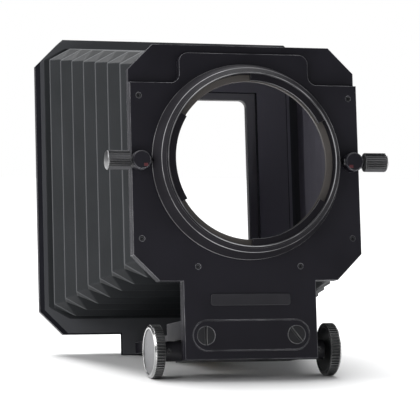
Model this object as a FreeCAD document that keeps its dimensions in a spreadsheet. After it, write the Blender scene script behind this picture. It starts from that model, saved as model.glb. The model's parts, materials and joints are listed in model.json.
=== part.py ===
"""Bellows lens hood: two plates joined by a folding bellows, on a rail driven by a rack and pinion.

Frame, in millimetres: the origin is on the optical axis, where the lens's rim enters the bayonet, level with
the lugs' outer faces. X is to the right as seen from the lens, Y runs forward from the lens to the front
frame, and Z is up.
"""
import FreeCAD, Part
import math
import os
import Sketcher

os.makedirs("parts", exist_ok=True)
doc = FreeCAD.newDocument("bellows_lens_hood")

SIZES = {
    # bayonet ring, radii about the optical axis and heights in front of the cover plate
    "ring_base_radius": 42.3,
    "ring_base_height": 1.1,
    "ring_cone_width": 2.5,
    "ring_cone_height": 7.75,
    "ring_height": 9.9,
    "ring_bevel": 2.2,
    "ring_flange": 3.3,
    "ring_wall": 1.1,
    "ring_section": 5.3,
    "spigot_length": 2.6,
    "seat_level": 5.8,
    "seat_width": 2.9,
    "seat_thick": 1.4,
    "throat_length": 3.4,
    "lug_height": 3.0,
    "lug_thick": 1.7,
    "lug_inset": 0.4,
    "lug_angle": 62.0,
    "lug_count": 3,
    "lug_turn": 30.0,
    # lens-side plates, whose margins are measured from the ring's base
    "plate_side_margin": 8.7,
    "plate_top_margin": 8.9,
    "plate_bottom_margin": 8.8,
    "plate_chamfer": 11.2,
    "back_thick": 2.4,
    "cover_thick": 3.5,
    "step_level": 34.0,
    "crown_margin": 4.9,
    "crown_width": 58.0,
    "step_round": 4.0,
    # clamping posts and thumb screws at the ring's sides
    "post_distance": 5.3,
    "post_radius": 4.1,
    "post_height": 4.9,
    "post_edge": 0.4,
    "post_tail_radius": 1.5,
    "post_tail_length": 3.0,
    "stud_radius": 1.6,
    "stud_tip_radius": 0.5,
    "stud_gap": 0.15,
    "thumb_radius": 4.15,
    "thumb_gap": 0.5,
    "thumb_length": 10.8,
    "thumb_edge": 0.7,
    "thumb_cap": 2.5,
    "mark_width": 1.8,
    "mark_height": 1.3,
    "mark_drop": 2.1,
    "mark_inset": 1.7,
    "mark_thick": 0.15,
    # name plate on the tab
    "name_width": 35.4,
    "name_height": 4.9,
    "name_thick": 0.5,
    "name_drop": 8.1,
    "name_round": 1.2,
    # small flush screws in the cover plate
    "dot_radius": 1.15,
    "dot_inset": 3.8,
    "dot_upper": 28.3,
    "dot_lower": 33.0,
    "dot_tab_side": 22.9,
    "dot_rise": 6.1,
    # rail, its end plate and the slotted screws
    "rail_width": 46.0,
    "rail_thick": 5.4,
    "rail_rise": 3.2,
    "rail_drop": 23.3,
    "end_plate_overlap": 2.8,
    "end_plate_height": 12.6,
    "end_plate_thick": 3.3,
    "slot_screw_inset": 5.6,
    "slot_screw_head": 3.9,
    "slot_screw_head_thick": 1.8,
    "slot_screw_shank": 1.9,
    "slot_screw_length": 10.0,
    "slot_width": 0.9,
    "slot_depth": 0.9,
    # guide block above the rail and gear housing under it
    "guide_roof": 3.5,
    "guide_cheek": 6.5,
    "guide_length": 23.5,
    "cheek_gap": 0.9,
    "housing_cheek": 3.0,
    "housing_floor": 4.3,
    "tab_margin": 0.1,
    "housing_bolt_radius": 1.0,
    "housing_bolt_inset": 2.2,
    "housing_bolt_cover": 2.0,
    # rack and pinion
    "gear_module": 0.6,
    "pinion_teeth": 12,
    "gear_width": 8.0,
    "gear_backlash": 0.16,
    "rack_addendum": 0.35,
    "rack_dedendum": 0.75,
    "rack_base": 2.6,
    "rack_end_gap": 3.0,
    "rack_screw_radius": 1.0,
    "rack_screw_count": 4,
    "rack_screw_start": 10.0,
    "rack_screw_end": 12.0,
    "rack_screw_floor": 0.9,
    "axle_setback": 8.7,
    "axle_radius": 2.5,
    "bush_radius": 4.35,
    "bush_shank_radius": 3.5,
    "bush_length": 10.3,
    "grub_radius": 1.0,
    "grub_length": 1.6,
    "grub_inset": 2.5,
    # focusing knobs
    "knob_radius": 11.5,
    "knob_gap": 0.6,
    "knob_thick": 4.9,
    "knob_bevel": 0.9,
    "knob_back_bevel": 0.4,
    "knob_disc_radius": 9.65,
    "knob_disc_thick": 0.8,
    "knob_recess": 0.5,
    # bellows skin and its clamping frames
    "bellows_side_margin": 1.2,
    "bellows_top_margin": 3.0,
    "bellows_bottom_margin": 4.1,
    "bellows_far_width": 129.0,
    "bellows_far_top": 69.0,
    "bellows_far_bottom": 59.9,
    "pleat_count": 7,
    "pleat_pitch": 14.6,
    "first_ridge": 10.6,
    "last_fold": 7.9,
    "pleat_side_inset": 3.0,
    "pleat_end_inset": 5.3,
    "pleat_corner_width": 10.2,
    "pleat_corner_height": 5.8,
    "bellows_skin": 0.8,
    "clamp_thick": 0.8,
    "clamp_margin": 2.0,
    "clamp_band": 3.2,
    # front frame, whose borders are measured from its own outline
    "frame_side_margin": 1.7,
    "frame_top_margin": 4.0,
    "frame_bottom_margin": 6.6,
    "front_chamfer": 11.0,
    "rear_frame_thick": 3.2,
    "filter_thick": 7.8,
    "front_plate_thick": 3.4,
    "window_border_side": 27.5,
    "window_border_top": 25.7,
    "window_border_bottom": 25.8,
    "window_round": 3.4,
    "rear_window_margin": 2.0,
    "slot_border_side": 15.4,
    "slot_border_bottom": 20.0,
    "front_tab_lip": 6.3,
    "foot_drop": 0.2,
    "frame_screw_radius": 1.9,
    "frame_screw_side_inset": 7.6,
    "frame_screw_end_inset": 14.5,
    "frame_screw_cover": 0.6,
    "rail_bolt_radius": 1.6,
    "rail_bolt_head": 2.4,
    "rail_bolt_head_thick": 1.6,
    "rail_bolt_side": 14.0,
    "rail_bolt_length": 12.0,
    # six-sided sockets in the screws, as shares of a screw's radius
    "socket_share": 0.6,
    "socket_depth": 0.6,
    # fits
    "running_gap": 0.05,
    "sliding_gap": 0.1,
    "screw_gap": 0.05,
    "press_gap": 0.01,
    "clear_gap": 0.3,
}


class Size:
    """A length of the hood: its value now, and the words that bind it to the table of sizes."""

    def __init__(self, value, text):
        self.value = value
        self.text = text

    def __add__(self, other):
        other = size(other)
        return Size(self.value + other.value, f"({self.text} + {other.text})")

    def __radd__(self, other):
        return size(other) + self

    def __sub__(self, other):
        other = size(other)
        return Size(self.value - other.value, f"({self.text} - {other.text})")

    def __rsub__(self, other):
        return size(other) - self

    def __mul__(self, other):
        other = size(other)
        return Size(self.value * other.value, f"({self.text} * {other.text})")

    def __rmul__(self, other):
        return size(other) * self

    def __truediv__(self, other):
        other = size(other)
        return Size(self.value / other.value, f"({self.text} / {other.text})")

    def __neg__(self):
        return Size(-self.value, f"(0 - {self.text})")

    def whole(self):
        """The whole number below it, for a count."""
        return Size(float(math.floor(self.value)), f"floor({self.text})")


def size(number):
    """A plain number as a Size, and a Size as it is."""
    return number if isinstance(number, Size) else Size(float(number), repr(float(number)))


def fill_sheet():
    """Writes every driving dimension in a cell of its own, with its name as the alias."""
    sheet = doc.addObject("Spreadsheet::Sheet", "Sizes")
    for row, (name, value) in enumerate(SIZES.items(), start=1):
        sheet.set(f"A{row}", name)
        sheet.set(f"B{row}", str(value))
        sheet.setAlias(f"B{row}", name)
    doc.recompute()
    return sheet


class Cells:
    """The table's cells by name."""

    def __init__(self, names):
        for name, value in names.items():
            setattr(self, name, Size(float(value), f"Sizes.{name}"))


sheet = fill_sheet()
c = Cells(SIZES)
X_AXIS = FreeCAD.Vector(1, 0, 0)
Y_AXIS = FreeCAD.Vector(0, 1, 0)
Z_AXIS = FreeCAD.Vector(0, 0, 1)

# stations along the optical axis
cover_face = c.ring_height - c.lug_inset
back_face = cover_face + c.cover_thick
plates_back = back_face + c.back_thick
stud_line = cover_face - c.post_height / 2
front_start = plates_back + c.first_ridge + (c.pleat_count - 1) * c.pleat_pitch + c.last_fold
front_gap = front_start - plates_back
filter_start = front_start + c.rear_frame_thick
front_plate_start = filter_start + c.filter_thick
front_end = front_plate_start + c.front_plate_thick
guide_front = plates_back + c.guide_length
axle_forward = plates_back + c.axle_setback

# the ring's radii, all measured inwards from its base
plate_bore = c.ring_base_radius - c.ring_flange
ring_nose_radius = c.ring_base_radius - c.ring_cone_width
rim_radius = ring_nose_radius - c.ring_bevel
groove_radius = c.ring_base_radius - c.ring_section
sleeve_radius = groove_radius + c.ring_wall
rim_drop = (sleeve_radius - rim_radius) * (c.ring_height - c.ring_cone_height) / c.ring_bevel
throat_radius = groove_radius - c.seat_width
lug_radius = groove_radius - c.lug_height

# the lens-side plates and what stands on them
plate_half = c.ring_base_radius + c.plate_side_margin
plate_top = c.ring_base_radius + c.plate_top_margin
plate_bottom = c.ring_base_radius + c.plate_bottom_margin
crown_top = c.ring_base_radius + c.crown_margin
post_offset = c.ring_base_radius + c.post_distance
thumb_start = post_offset + c.post_radius + c.thumb_gap
thumb_end = thumb_start + c.thumb_length
stud_end = thumb_end - c.thumb_cap

# levels below the optical axis, from the rail down
rail_level = plate_bottom + c.rail_drop
rail_top = rail_level - c.rail_rise
rail_bottom = rail_top + c.rail_thick
pitch_level = rail_bottom
pinion_pitch_radius = c.gear_module * c.pinion_teeth / 2
axle_level = pitch_level + pinion_pitch_radius
rack_tip_level = pitch_level + c.rack_addendum
rail_bolt_level = (rail_top + rail_bottom) / 2
guide_top = rail_top - c.guide_roof
guide_bottom = rail_bottom - c.cheek_gap
housing_bottom = axle_level + c.housing_floor
tab_bottom = housing_bottom + c.tab_margin

# widths beside the rail
rail_half = c.rail_width / 2
tab_half = rail_half + c.guide_cheek
housing_half = rail_half + c.housing_cheek
bush_end = housing_half + c.bush_length
bush_start = rail_half + 2 * c.sliding_gap
knob_inner = bush_end + c.knob_gap
knob_outer = knob_inner + c.knob_thick
end_plate_half = rail_half + c.end_plate_overlap
slot_screw_side = end_plate_half - c.slot_screw_inset
gear_room = c.gear_width / 2 + c.clear_gap

# the front frame's outline and openings
front_half = c.bellows_far_width / 2 + c.frame_side_margin
front_top = c.bellows_far_top + c.frame_top_margin
front_bottom = c.bellows_far_bottom + c.frame_bottom_margin
front_tab_half = rail_half + c.front_tab_lip
front_tab_bottom = rail_bottom + c.foot_drop
window_half = front_half - c.window_border_side
window_top = front_top - c.window_border_top
window_bottom = front_bottom - c.window_border_bottom
slot_half = front_half - c.slot_border_side
slot_bottom = front_bottom - c.slot_border_bottom

# the bellows where it meets the lens-side plates
near_half = plate_half - c.bellows_side_margin
near_top = plate_top - c.bellows_top_margin
near_bottom = plate_bottom - c.bellows_bottom_margin


def bind(thing, name, length):
    """Sets one property of a feature from a Size."""
    thing.setExpression(name, size(length).text)


def place(thing, x=0, y=0, z=0):
    """Binds where a feature stands, leaving its turn alone."""
    start = [size(part) for part in (x, y, z)]
    thing.Placement = FreeCAD.Placement(
        FreeCAD.Vector(*[part.value for part in start]), thing.Placement.Rotation
    )
    for letter, part in zip("xyz", start):
        thing.setExpression(f"Placement.Base.{letter}", part.text)


def turn(thing, direction):
    """Turns a feature's own Z axis to a direction."""
    thing.Placement = FreeCAD.Placement(FreeCAD.Vector(), FreeCAD.Rotation(Z_AXIS, direction))


def new_body(name):
    body = doc.addObject("PartDesign::Body", name)
    body.Label = name
    return body


def sketch_on(body, name, role, level=0):
    """A sketch on one of the body's own origin planes, moved along that plane's normal."""
    plane = [part for part in body.Origin.OriginFeatures if part.Role == role][0]
    sketch = body.newObject("Sketcher::SketchObject", f"{body.Name}_{name}")
    sketch.AttachmentSupport = [(plane, "")]
    sketch.MapMode = "FlatFace"
    bind(sketch, "AttachmentOffset.Base.z", level)
    return sketch


def pin_point(sketch, line, end, across, up):
    """Ties one end of a line to its two coordinates."""
    for kind, axis, length in (("DistanceX", -2, across), ("DistanceY", -1, up)):
        if abs(length.value) < 1e-9:
            sketch.addConstraint(Sketcher.Constraint("PointOnObject", line, end, axis))
            continue
        index = sketch.addConstraint(Sketcher.Constraint(kind, -1, 1, line, end, length.value))
        sketch.setExpression(f"Constraints[{index}]", length.text)


def draw_outline(sketch, points):
    """A closed outline of straight lines through points that are pairs of Sizes."""
    points = [(size(across), size(up)) for across, up in points]
    lines = []
    for (x1, y1), (x2, y2) in zip(points, points[1:] + points[:1]):
        start = FreeCAD.Vector(x1.value, y1.value, 0)
        end = FreeCAD.Vector(x2.value, y2.value, 0)
        lines.append(sketch.addGeometry(Part.LineSegment(start, end), False))
    for line, following in zip(lines, lines[1:] + lines[:1]):
        sketch.addConstraint(Sketcher.Constraint("Coincident", line, 2, following, 1))
    for line, (across, up) in zip(lines, points):
        pin_point(sketch, line, 1, across, up)


def draw_circle(sketch, across, up, radius):
    across, up, radius = size(across), size(up), size(radius)
    centre = FreeCAD.Vector(across.value, up.value, 0)
    circle = sketch.addGeometry(Part.Circle(centre, Z_AXIS, radius.value), False)
    pin_point(sketch, circle, 3, across, up)
    index = sketch.addConstraint(Sketcher.Constraint("Radius", circle, radius.value))
    sketch.setExpression(f"Constraints[{index}]", radius.text)


def pad(body, sketch, length, name="pad"):
    feature = body.newObject("PartDesign::Pad", f"{body.Name}_{name}")
    feature.Profile = sketch
    bind(feature, "Length", length)
    return feature


def round_edges(body, corners, radius):
    """Rounds the edges along Y that stand at the given corners (x, z)."""
    doc.recompute()
    solid = body.Tip
    edges = []
    for number, edge in enumerate(solid.Shape.Edges, start=1):
        first, last = edge.Vertexes[0].Point, edge.Vertexes[-1].Point
        along = abs(first.x - last.x) < 1e-6 and abs(first.z - last.z) < 1e-6
        for across, up in corners:
            if along and math.hypot(first.x - size(across).value, first.z - size(up).value) < 1e-4:
                edges.append(f"Edge{number}")
    fillet = body.newObject("PartDesign::Fillet", f"{body.Name}_rounds")
    fillet.Base = (solid, edges)
    bind(fillet, "Radius", radius)
    body.Tip = fillet


def plate(name, outline, start, thickness, windows=(), circles=()):
    """A flat plate square to the optical axis, from its start along Y."""
    body = new_body(name)
    sketch = sketch_on(body, "outline", "XZ_Plane", -(size(start) + thickness))
    draw_outline(sketch, outline)
    for window in windows:
        draw_outline(sketch, window)
    for across, up, radius in circles:
        draw_circle(sketch, across, up, radius)
    pad(body, sketch, thickness)
    return body


def block(name, low, high):
    """A rectangular block between two corners."""
    box = doc.addObject("Part::Box", name)
    for side, first, last in zip(("Length", "Width", "Height"), low, high):
        bind(box, side, size(last) - first)
    place(box, *low)
    return box


def rod(name, radius, start, end, direction):
    """A round rod along X, Y or Z. start is its first point, and end its last coordinate that way."""
    cylinder = doc.addObject("Part::Cylinder", name)
    first = start[[X_AXIS, Y_AXIS, Z_AXIS].index(direction)]
    bind(cylinder, "Radius", radius)
    bind(cylinder, "Height", size(end) - first)
    turn(cylinder, direction)
    place(cylinder, *start)
    return cylinder


def turned(name, profile, along="V_Axis"):
    """A lathe-turned piece. The profile's points are (radius, Y), or (X, radius) for a piece along X."""
    body = new_body(name)
    sketch = sketch_on(body, "profile", "XY_Plane")
    draw_outline(sketch, profile)
    spun = body.newObject("PartDesign::Revolution", f"{name}_turned")
    spun.Profile = sketch
    spun.ReferenceAxis = (sketch, [along])
    spun.Angle = 360
    return body


def joined(name, pieces):
    fused = doc.addObject("Part::MultiFuse", name)
    fused.Shapes = pieces
    return fused


def cut(name, base, tools):
    """The base with the tools' space taken out."""
    tool = tools[0] if len(tools) == 1 else joined(f"{name}_tools", tools)
    result = doc.addObject("Part::Cut", name)
    result.Base = base
    result.Tool = tool
    return result


def group(name, pieces):
    """Several separate solids of one kind, kept as one sub-part."""
    compound = doc.addObject("Part::Compound", name)
    compound.Links = pieces
    return compound


def stadium(name, width, height, level, start, end):
    """A bar with half-round ends across X, at a level below the axis."""
    radius = height / 2
    side = width / 2 - radius
    middle = block(f"{name}_middle", (-side, start, -level - radius), (side, end, -level + radius))
    ends = [
        rod(f"{name}_{word}", radius, (centre, start, -level), end, Y_AXIS)
        for word, centre in (("left", -side), ("right", side))
    ]
    return joined(name, [middle] + ends)


def rectangle(half_width, top, bottom):
    """Four corners of a rectangle about the axis, with top above it and bottom below it."""
    return [(-half_width, -bottom), (half_width, -bottom), (half_width, top), (-half_width, top)]


# places of the small screws and of the pieces that come in pairs
SIDES = (("left", -1), ("right", 1))
cover_dots = [
    (side * along, up)
    for side in (-1, 1)
    for along, up in (
        ((plate_half - c.dot_inset), c.dot_upper),
        ((plate_half - c.dot_inset), -c.dot_lower),
        (c.dot_tab_side, -(plate_bottom - c.dot_rise)),
    )
]
frame_dots = [
    (side * (front_half - c.frame_screw_side_inset), up)
    for side in (-1, 1)
    for up in (front_top - c.frame_screw_end_inset, c.frame_screw_end_inset - front_bottom)
]


def lower_outline():
    """The outline that both lens-side plates share, from the left side down round the tab to the right."""
    return [
        (-plate_half, -plate_bottom + c.plate_chamfer),
        (-plate_half + c.plate_chamfer, -plate_bottom),
        (-tab_half, -plate_bottom),
        (-tab_half, -tab_bottom),
        (tab_half, -tab_bottom),
        (tab_half, -plate_bottom),
        (plate_half - c.plate_chamfer, -plate_bottom),
        (plate_half, -plate_bottom + c.plate_chamfer),
    ]


def rail_way(name, start, end):
    """The space that the rail slides through, with a groove under it for the rack's teeth."""
    side = rail_half + c.sliding_gap
    low = (-side, start, -(rail_bottom + c.sliding_gap))
    hole = block(f"{name}_hole", low, (side, end, -(rail_top - c.sliding_gap)))
    low = (-gear_room, start, -(rack_tip_level + c.clear_gap))
    groove = block(f"{name}_groove", low, (gear_room, end, -(rail_bottom - c.clear_gap)))
    return [hole, groove]


def hexagon(name, screw_radius, start, end, direction):
    """The six-sided socket of a screw, from a point outside its head to the socket's floor."""
    prism = doc.addObject("Part::Prism", name)
    prism.Polygon = 6
    first = start[[X_AXIS, Y_AXIS, Z_AXIS].index(direction)]
    bind(prism, "Circumradius", screw_radius * c.socket_share)
    bind(prism, "Height", size(end) - first)
    turn(prism, direction)
    place(prism, *start)
    return prism


def post_holes(name, start, end):
    return [
        rod(f"{name}_{word}", c.post_tail_radius + c.screw_gap, (side * post_offset, start, 0), end, Y_AXIS)
        for word, side in SIDES
    ]


def make_back_plate():
    half = plate_half
    outline = lower_outline() + [
        (half, plate_top - c.plate_chamfer),
        (half - c.plate_chamfer, plate_top),
        (-half + c.plate_chamfer, plate_top),
        (-half, plate_top - c.plate_chamfer),
    ]
    circles = [(0, 0, plate_bore)] + [(x, z, c.dot_radius + c.screw_gap) for x, z in cover_dots]
    solid = plate("back_plate_solid", outline, back_face, c.back_thick, circles=circles)
    return cut("back_plate", solid, rail_way("back_plate_rail", back_face - 1, plates_back + 1))


def make_cover_plate():
    half = plate_half
    crown = c.crown_width / 2
    outline = lower_outline() + [
        (half, c.step_level),
        (crown, c.step_level),
        (crown, crown_top),
        (-crown, crown_top),
        (-crown, c.step_level),
        (-half, c.step_level),
    ]
    circles = [(0, 0, plate_bore)] + [(x, z, c.dot_radius + c.screw_gap) for x, z in cover_dots]
    solid = plate("cover_plate_solid", outline, cover_face, c.cover_thick, circles=circles)
    corners = [(side * crown, up) for side in (-1, 1) for up in (c.step_level, crown_top)]
    round_edges(solid, corners, c.step_round)
    window = stadium(
        "cover_plate_window",
        2 * (end_plate_half + c.clear_gap),
        c.end_plate_height + 2 * c.clear_gap,
        rail_level,
        cover_face - 1,
        back_face + 1,
    )
    return cut("cover_plate", solid, [window] + post_holes("cover_plate_post", cover_face - 1, back_face + 1))


def make_cover_screws():
    """Six small screws, flush with the cover plate and tapped through the back plate."""
    screws = []
    for number, (x, z) in enumerate(cover_dots, start=1):
        solid = rod(f"cover_screw_{number}_solid", c.dot_radius, (x, cover_face, z), plates_back, Y_AXIS)
        start = (x, cover_face - 1, z)
        socket = hexagon(
            f"cover_screw_{number}_socket", c.dot_radius, start, cover_face + c.socket_depth, Y_AXIS
        )
        screws.append(cut(f"cover_screw_{number}", solid, [socket]))
    return group("cover_screws", screws)


def make_name_plate():
    """A bare plate with rounded corners, on the tab."""
    half = c.name_width / 2
    top = -(plate_bottom + c.name_drop - c.name_height / 2)
    corners = rectangle(half, top, plate_bottom + c.name_drop + c.name_height / 2)
    body = plate("name_plate", corners, cover_face - c.name_thick, c.name_thick)
    round_edges(body, corners, c.name_round)
    return body


def make_guide_block():
    """The full-width block above the rail, whose two cheeks reach down past its sides."""
    half = tab_half
    low = (-half, plates_back, -guide_bottom)
    solid = block("guide_block_solid", low, (half, guide_front, -guide_top))
    channel = rail_way("guide_block_channel", plates_back - 1, guide_front + 1)
    bolts = housing_bolt_rods("guide_block_bolt", c.housing_bolt_radius + c.screw_gap, -housing_bottom)
    return cut("guide_block", solid, channel + bolts)


def housing_bolt_places():
    return [
        (side * (rail_half + (c.housing_cheek + c.sliding_gap) / 2), y)
        for side in (-1, 1)
        for y in (plates_back + c.housing_bolt_inset, guide_front - c.housing_bolt_inset)
    ]


def housing_bolt_rods(name, radius, start):
    """Rods along the four bolts, from a height up into the guide block's cheeks."""
    return [
        rod(f"{name}_{number}", radius, (x, y, start), -guide_top - c.housing_bolt_cover, Z_AXIS)
        for number, (x, y) in enumerate(housing_bolt_places(), start=1)
    ]


def make_gear_housing():
    """The narrower block under the rail, with the pinion's pocket and the axle's bores."""
    half = housing_half
    low = (-half, plates_back, -housing_bottom)
    solid = block("gear_housing_solid", low, (half, guide_front, -guide_bottom))
    pinion_room = pinion_pitch_radius + c.gear_module + c.clear_gap
    pocket = block(
        "gear_housing_pocket",
        (-gear_room, axle_forward - pinion_room, -housing_bottom - 1),
        (gear_room, axle_forward + pinion_room, -guide_bottom + 1),
    )
    bore = rod(
        "gear_housing_bore",
        c.axle_radius + c.clear_gap,
        (-half - 1, axle_forward, -axle_level),
        half + 1,
        X_AXIS,
    )
    seats = [
        rod(f"gear_housing_seat_{word}", c.bush_shank_radius, (first, axle_forward, -axle_level), last, X_AXIS)
        for word, first, last in (
            ("left", -half - 1, -bush_start),
            ("right", bush_start, half + 1),
        )
    ]
    bolts = housing_bolt_rods(
        "gear_housing_bolt", c.housing_bolt_radius + c.screw_gap, -housing_bottom - 1
    )
    channel = rail_way("gear_housing_channel", plates_back - 1, guide_front + 1)
    return cut("gear_housing", solid, channel + [pocket, bore] + seats + bolts)


def make_housing_bolts():
    """Four socket bolts, flush with the housing's underside."""
    bolts = []
    solids = housing_bolt_rods("housing_bolt_solid", c.housing_bolt_radius, -housing_bottom)
    for number, (solid, (x, y)) in enumerate(zip(solids, housing_bolt_places()), start=1):
        start = (x, y, -housing_bottom - 1)
        floor = -housing_bottom + c.socket_depth
        socket = hexagon(f"housing_bolt_{number}_socket", c.housing_bolt_radius, start, floor, Z_AXIS)
        bolts.append(cut(f"housing_bolt_{number}", solid, [socket]))
    return group("housing_bolts", bolts)


def make_bush(word, side):
    """A flanged bush pressed into the housing's side, with a hole for its grub screw."""
    half = housing_half
    profile = [
        (bush_start, c.axle_radius + c.running_gap),
        (bush_end, c.axle_radius + c.running_gap),
        (bush_end, c.bush_radius),
        (half, c.bush_radius),
        (half, c.bush_shank_radius),
        (bush_start, c.bush_shank_radius),
    ]
    body = turned(f"shaft_bush_{word}_solid", [(side * x, radius) for x, radius in profile], "H_Axis")
    place(body, 0, axle_forward, -axle_level)
    hole = grub_rod(f"shaft_bush_{word}_hole", side, c.grub_radius + c.screw_gap)
    return cut(f"shaft_bush_{word}", body, [hole])


def grub_rod(name, side, radius):
    """A rod on a grub screw's line, which comes in from the lens side of the bush."""
    start = axle_forward - c.bush_radius
    return rod(name, radius, (side * (bush_end - c.grub_inset), start, -axle_level), start + c.grub_length, Y_AXIS)


def make_grub_screws():
    """One grub screw in each bush, with its socket towards the lens side."""
    screws = []
    for word, side in SIDES:
        solid = grub_rod(f"grub_screw_{word}_solid", side, c.grub_radius)
        outside = axle_forward - c.bush_radius
        start = (side * (bush_end - c.grub_inset), outside - 1, -axle_level)
        floor = outside + c.socket_depth
        socket = hexagon(f"grub_screw_{word}_socket", c.grub_radius, start, floor, Y_AXIS)
        screws.append(cut(f"grub_screw_{word}", solid, [socket]))
    return group("grub_screws", screws)


def make_post(word, side):
    """A round post on the cover plate, drilled across for the thumb screw's stud."""
    profile = [
        (0, -c.post_height),
        (c.post_radius - c.post_edge, -c.post_height),
        (c.post_radius, -c.post_height + c.post_edge),
        (c.post_radius, 0),
        (c.post_tail_radius, 0),
        (c.post_tail_radius, c.post_tail_length),
        (0, c.post_tail_length),
    ]
    body = turned(f"screw_post_{word}_solid", profile)
    place(body, side * post_offset, cover_face, 0)
    reach = c.post_radius + 1
    start = (side * post_offset - reach, stud_line, 0)
    hole = rod(
        f"screw_post_{word}_hole", c.stud_radius + c.running_gap, start, side * post_offset + reach, X_AXIS
    )
    return cut(f"screw_post_{word}", body, [hole])


def make_marks():
    """A small red index mark on each post's face, low and towards the ring."""
    marks = []
    for word, side in SIDES:
        x = side * (post_offset - c.mark_inset)
        face = cover_face - c.post_height
        low = (x - c.mark_width / 2, face - c.mark_thick, -c.mark_drop - c.mark_height / 2)
        high = (x + c.mark_width / 2, face, -c.mark_drop + c.mark_height / 2)
        marks.append(block(f"index_mark_{word}", low, high))
    return group("index_marks", marks)


def make_stud(word, side):
    """The threaded stud of a thumb screw, whose tapered tip bears on the ring's cone."""
    slope = c.ring_cone_width / (c.ring_cone_height - c.ring_base_height)
    cone = c.ring_base_radius - slope * (c.post_height / 2 - c.stud_tip_radius - c.ring_base_height)
    tip = cone + c.stud_gap
    taper = c.stud_radius - c.stud_tip_radius
    profile = [
        (tip, 0),
        (tip, c.stud_tip_radius),
        (tip + taper, c.stud_radius),
        (stud_end, c.stud_radius),
        (stud_end, 0),
    ]
    body = turned(f"thumb_stud_{word}", [(side * x, radius) for x, radius in profile], "H_Axis")
    place(body, 0, stud_line, 0)
    return body


def make_thumb_knob(word, side):
    """The knurled head of a thumb screw."""
    hole = c.stud_radius + c.running_gap
    profile = [
        (thumb_start, hole),
        (stud_end + c.running_gap, hole),
        (stud_end + c.running_gap, 0),
        (thumb_end, 0),
        (thumb_end, c.thumb_radius - c.thumb_edge),
        (thumb_end - c.thumb_edge, c.thumb_radius),
        (thumb_start + c.thumb_edge, c.thumb_radius),
        (thumb_start, c.thumb_radius - c.thumb_edge),
    ]
    body = turned(f"thumb_knob_{word}", [(side * x, radius) for x, radius in profile], "H_Axis")
    place(body, 0, stud_line, 0)
    return body


def make_mount_ring():
    """The outer ring, with the cone that the two thumb screws clamp."""
    spigot = plate_bore - c.running_gap
    profile = [
        (sleeve_radius, -c.ring_height + rim_drop),
        (ring_nose_radius, -c.ring_cone_height),
        (c.ring_base_radius, -c.ring_base_height),
        (c.ring_base_radius, 0),
        (spigot, 0),
        (spigot, c.spigot_length),
        (sleeve_radius, c.spigot_length),
    ]
    body = turned("mount_ring", profile)
    place(body, 0, cover_face, 0)
    return body


def make_bayonet_sleeve():
    """The inner sleeve, with three lugs round its mouth."""
    profile = [
        (sleeve_radius, -c.ring_height + rim_drop),
        (rim_radius, -c.ring_height),
        (groove_radius, -c.ring_height),
        (groove_radius, c.throat_length),
        (sleeve_radius, c.throat_length),
    ]
    body = turned("bayonet_sleeve", profile)
    sketch = sketch_on(body, "lug", "XY_Plane")
    start = -c.ring_height + c.lug_inset
    sink = groove_radius + c.ring_wall / 2
    draw_outline(
        sketch,
        [
            (lug_radius, start),
            (sink, start),
            (sink, start + c.lug_thick),
            (lug_radius, start + c.lug_thick),
        ],
    )
    lug = body.newObject("PartDesign::Revolution", "bayonet_sleeve_lug_turned")
    lug.Profile = sketch
    lug.ReferenceAxis = (sketch, ["V_Axis"])
    bind(lug, "Angle", c.lug_angle)
    doc.recompute()
    lugs = body.newObject("PartDesign::PolarPattern", "bayonet_sleeve_lugs")
    lugs.Originals = [lug]
    lugs.Axis = (sketch, ["V_Axis"])
    lugs.Angle = 360
    bind(lugs, "Occurrences", c.lug_count)
    body.Tip = lugs
    body.Placement = FreeCAD.Placement(FreeCAD.Vector(), FreeCAD.Rotation(Y_AXIS, c.lug_turn.value))
    place(body, 0, cover_face, 0)
    body.setExpression("Placement.Rotation.Angle", f"{c.lug_turn.text} * 1 deg")
    return body


def make_bayonet_seat():
    """The flat ring pressed into the sleeve, which the lens's rim is turned against."""
    seat_back = -c.seat_level + c.seat_thick
    profile = [
        (throat_radius, -c.seat_level),
        (groove_radius, -c.seat_level),
        (groove_radius, seat_back),
        (throat_radius, seat_back),
    ]
    body = turned("bayonet_seat", profile)
    place(body, 0, cover_face, 0)
    return body


def slot_head(name, x, z, angle, base):
    """A slotted screw's head and shank, with the slot turned about its own axis."""
    head_end = base
    shank = rod(f"{name}_shank", c.slot_screw_shank, (x, head_end, z), head_end + c.slot_screw_length, Y_AXIS)
    head = rod(
        f"{name}_head", c.slot_screw_head, (x, head_end - c.slot_screw_head_thick, z), head_end, Y_AXIS
    )
    slot = doc.addObject("Part::Box", f"{name}_slot")
    reach = c.slot_screw_head + 1
    bind(slot, "Length", 2 * reach)
    bind(slot, "Width", c.slot_depth + 1)
    bind(slot, "Height", c.slot_width)
    turned_slot = FreeCAD.Rotation(Y_AXIS, angle)
    centre = FreeCAD.Vector(x.value, (head_end - c.slot_screw_head_thick - 1).value, size(z).value)
    corner = turned_slot.multVec(FreeCAD.Vector(-reach.value, 0, -c.slot_width.value / 2))
    slot.Placement = FreeCAD.Placement(centre + corner, turned_slot)
    turn_cos = math.cos(math.radians(angle))
    turn_sin = math.sin(math.radians(angle))
    shift_x = -turn_cos * reach - turn_sin * c.slot_width / 2
    shift_z = turn_sin * reach - turn_cos * c.slot_width / 2
    bind(slot, "Placement.Base.x", x + shift_x)
    bind(slot, "Placement.Base.y", head_end - c.slot_screw_head_thick - 1)
    bind(slot, "Placement.Base.z", z + shift_z)
    return cut(name, joined(f"{name}_solid", [head, shank]), [slot])


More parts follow.
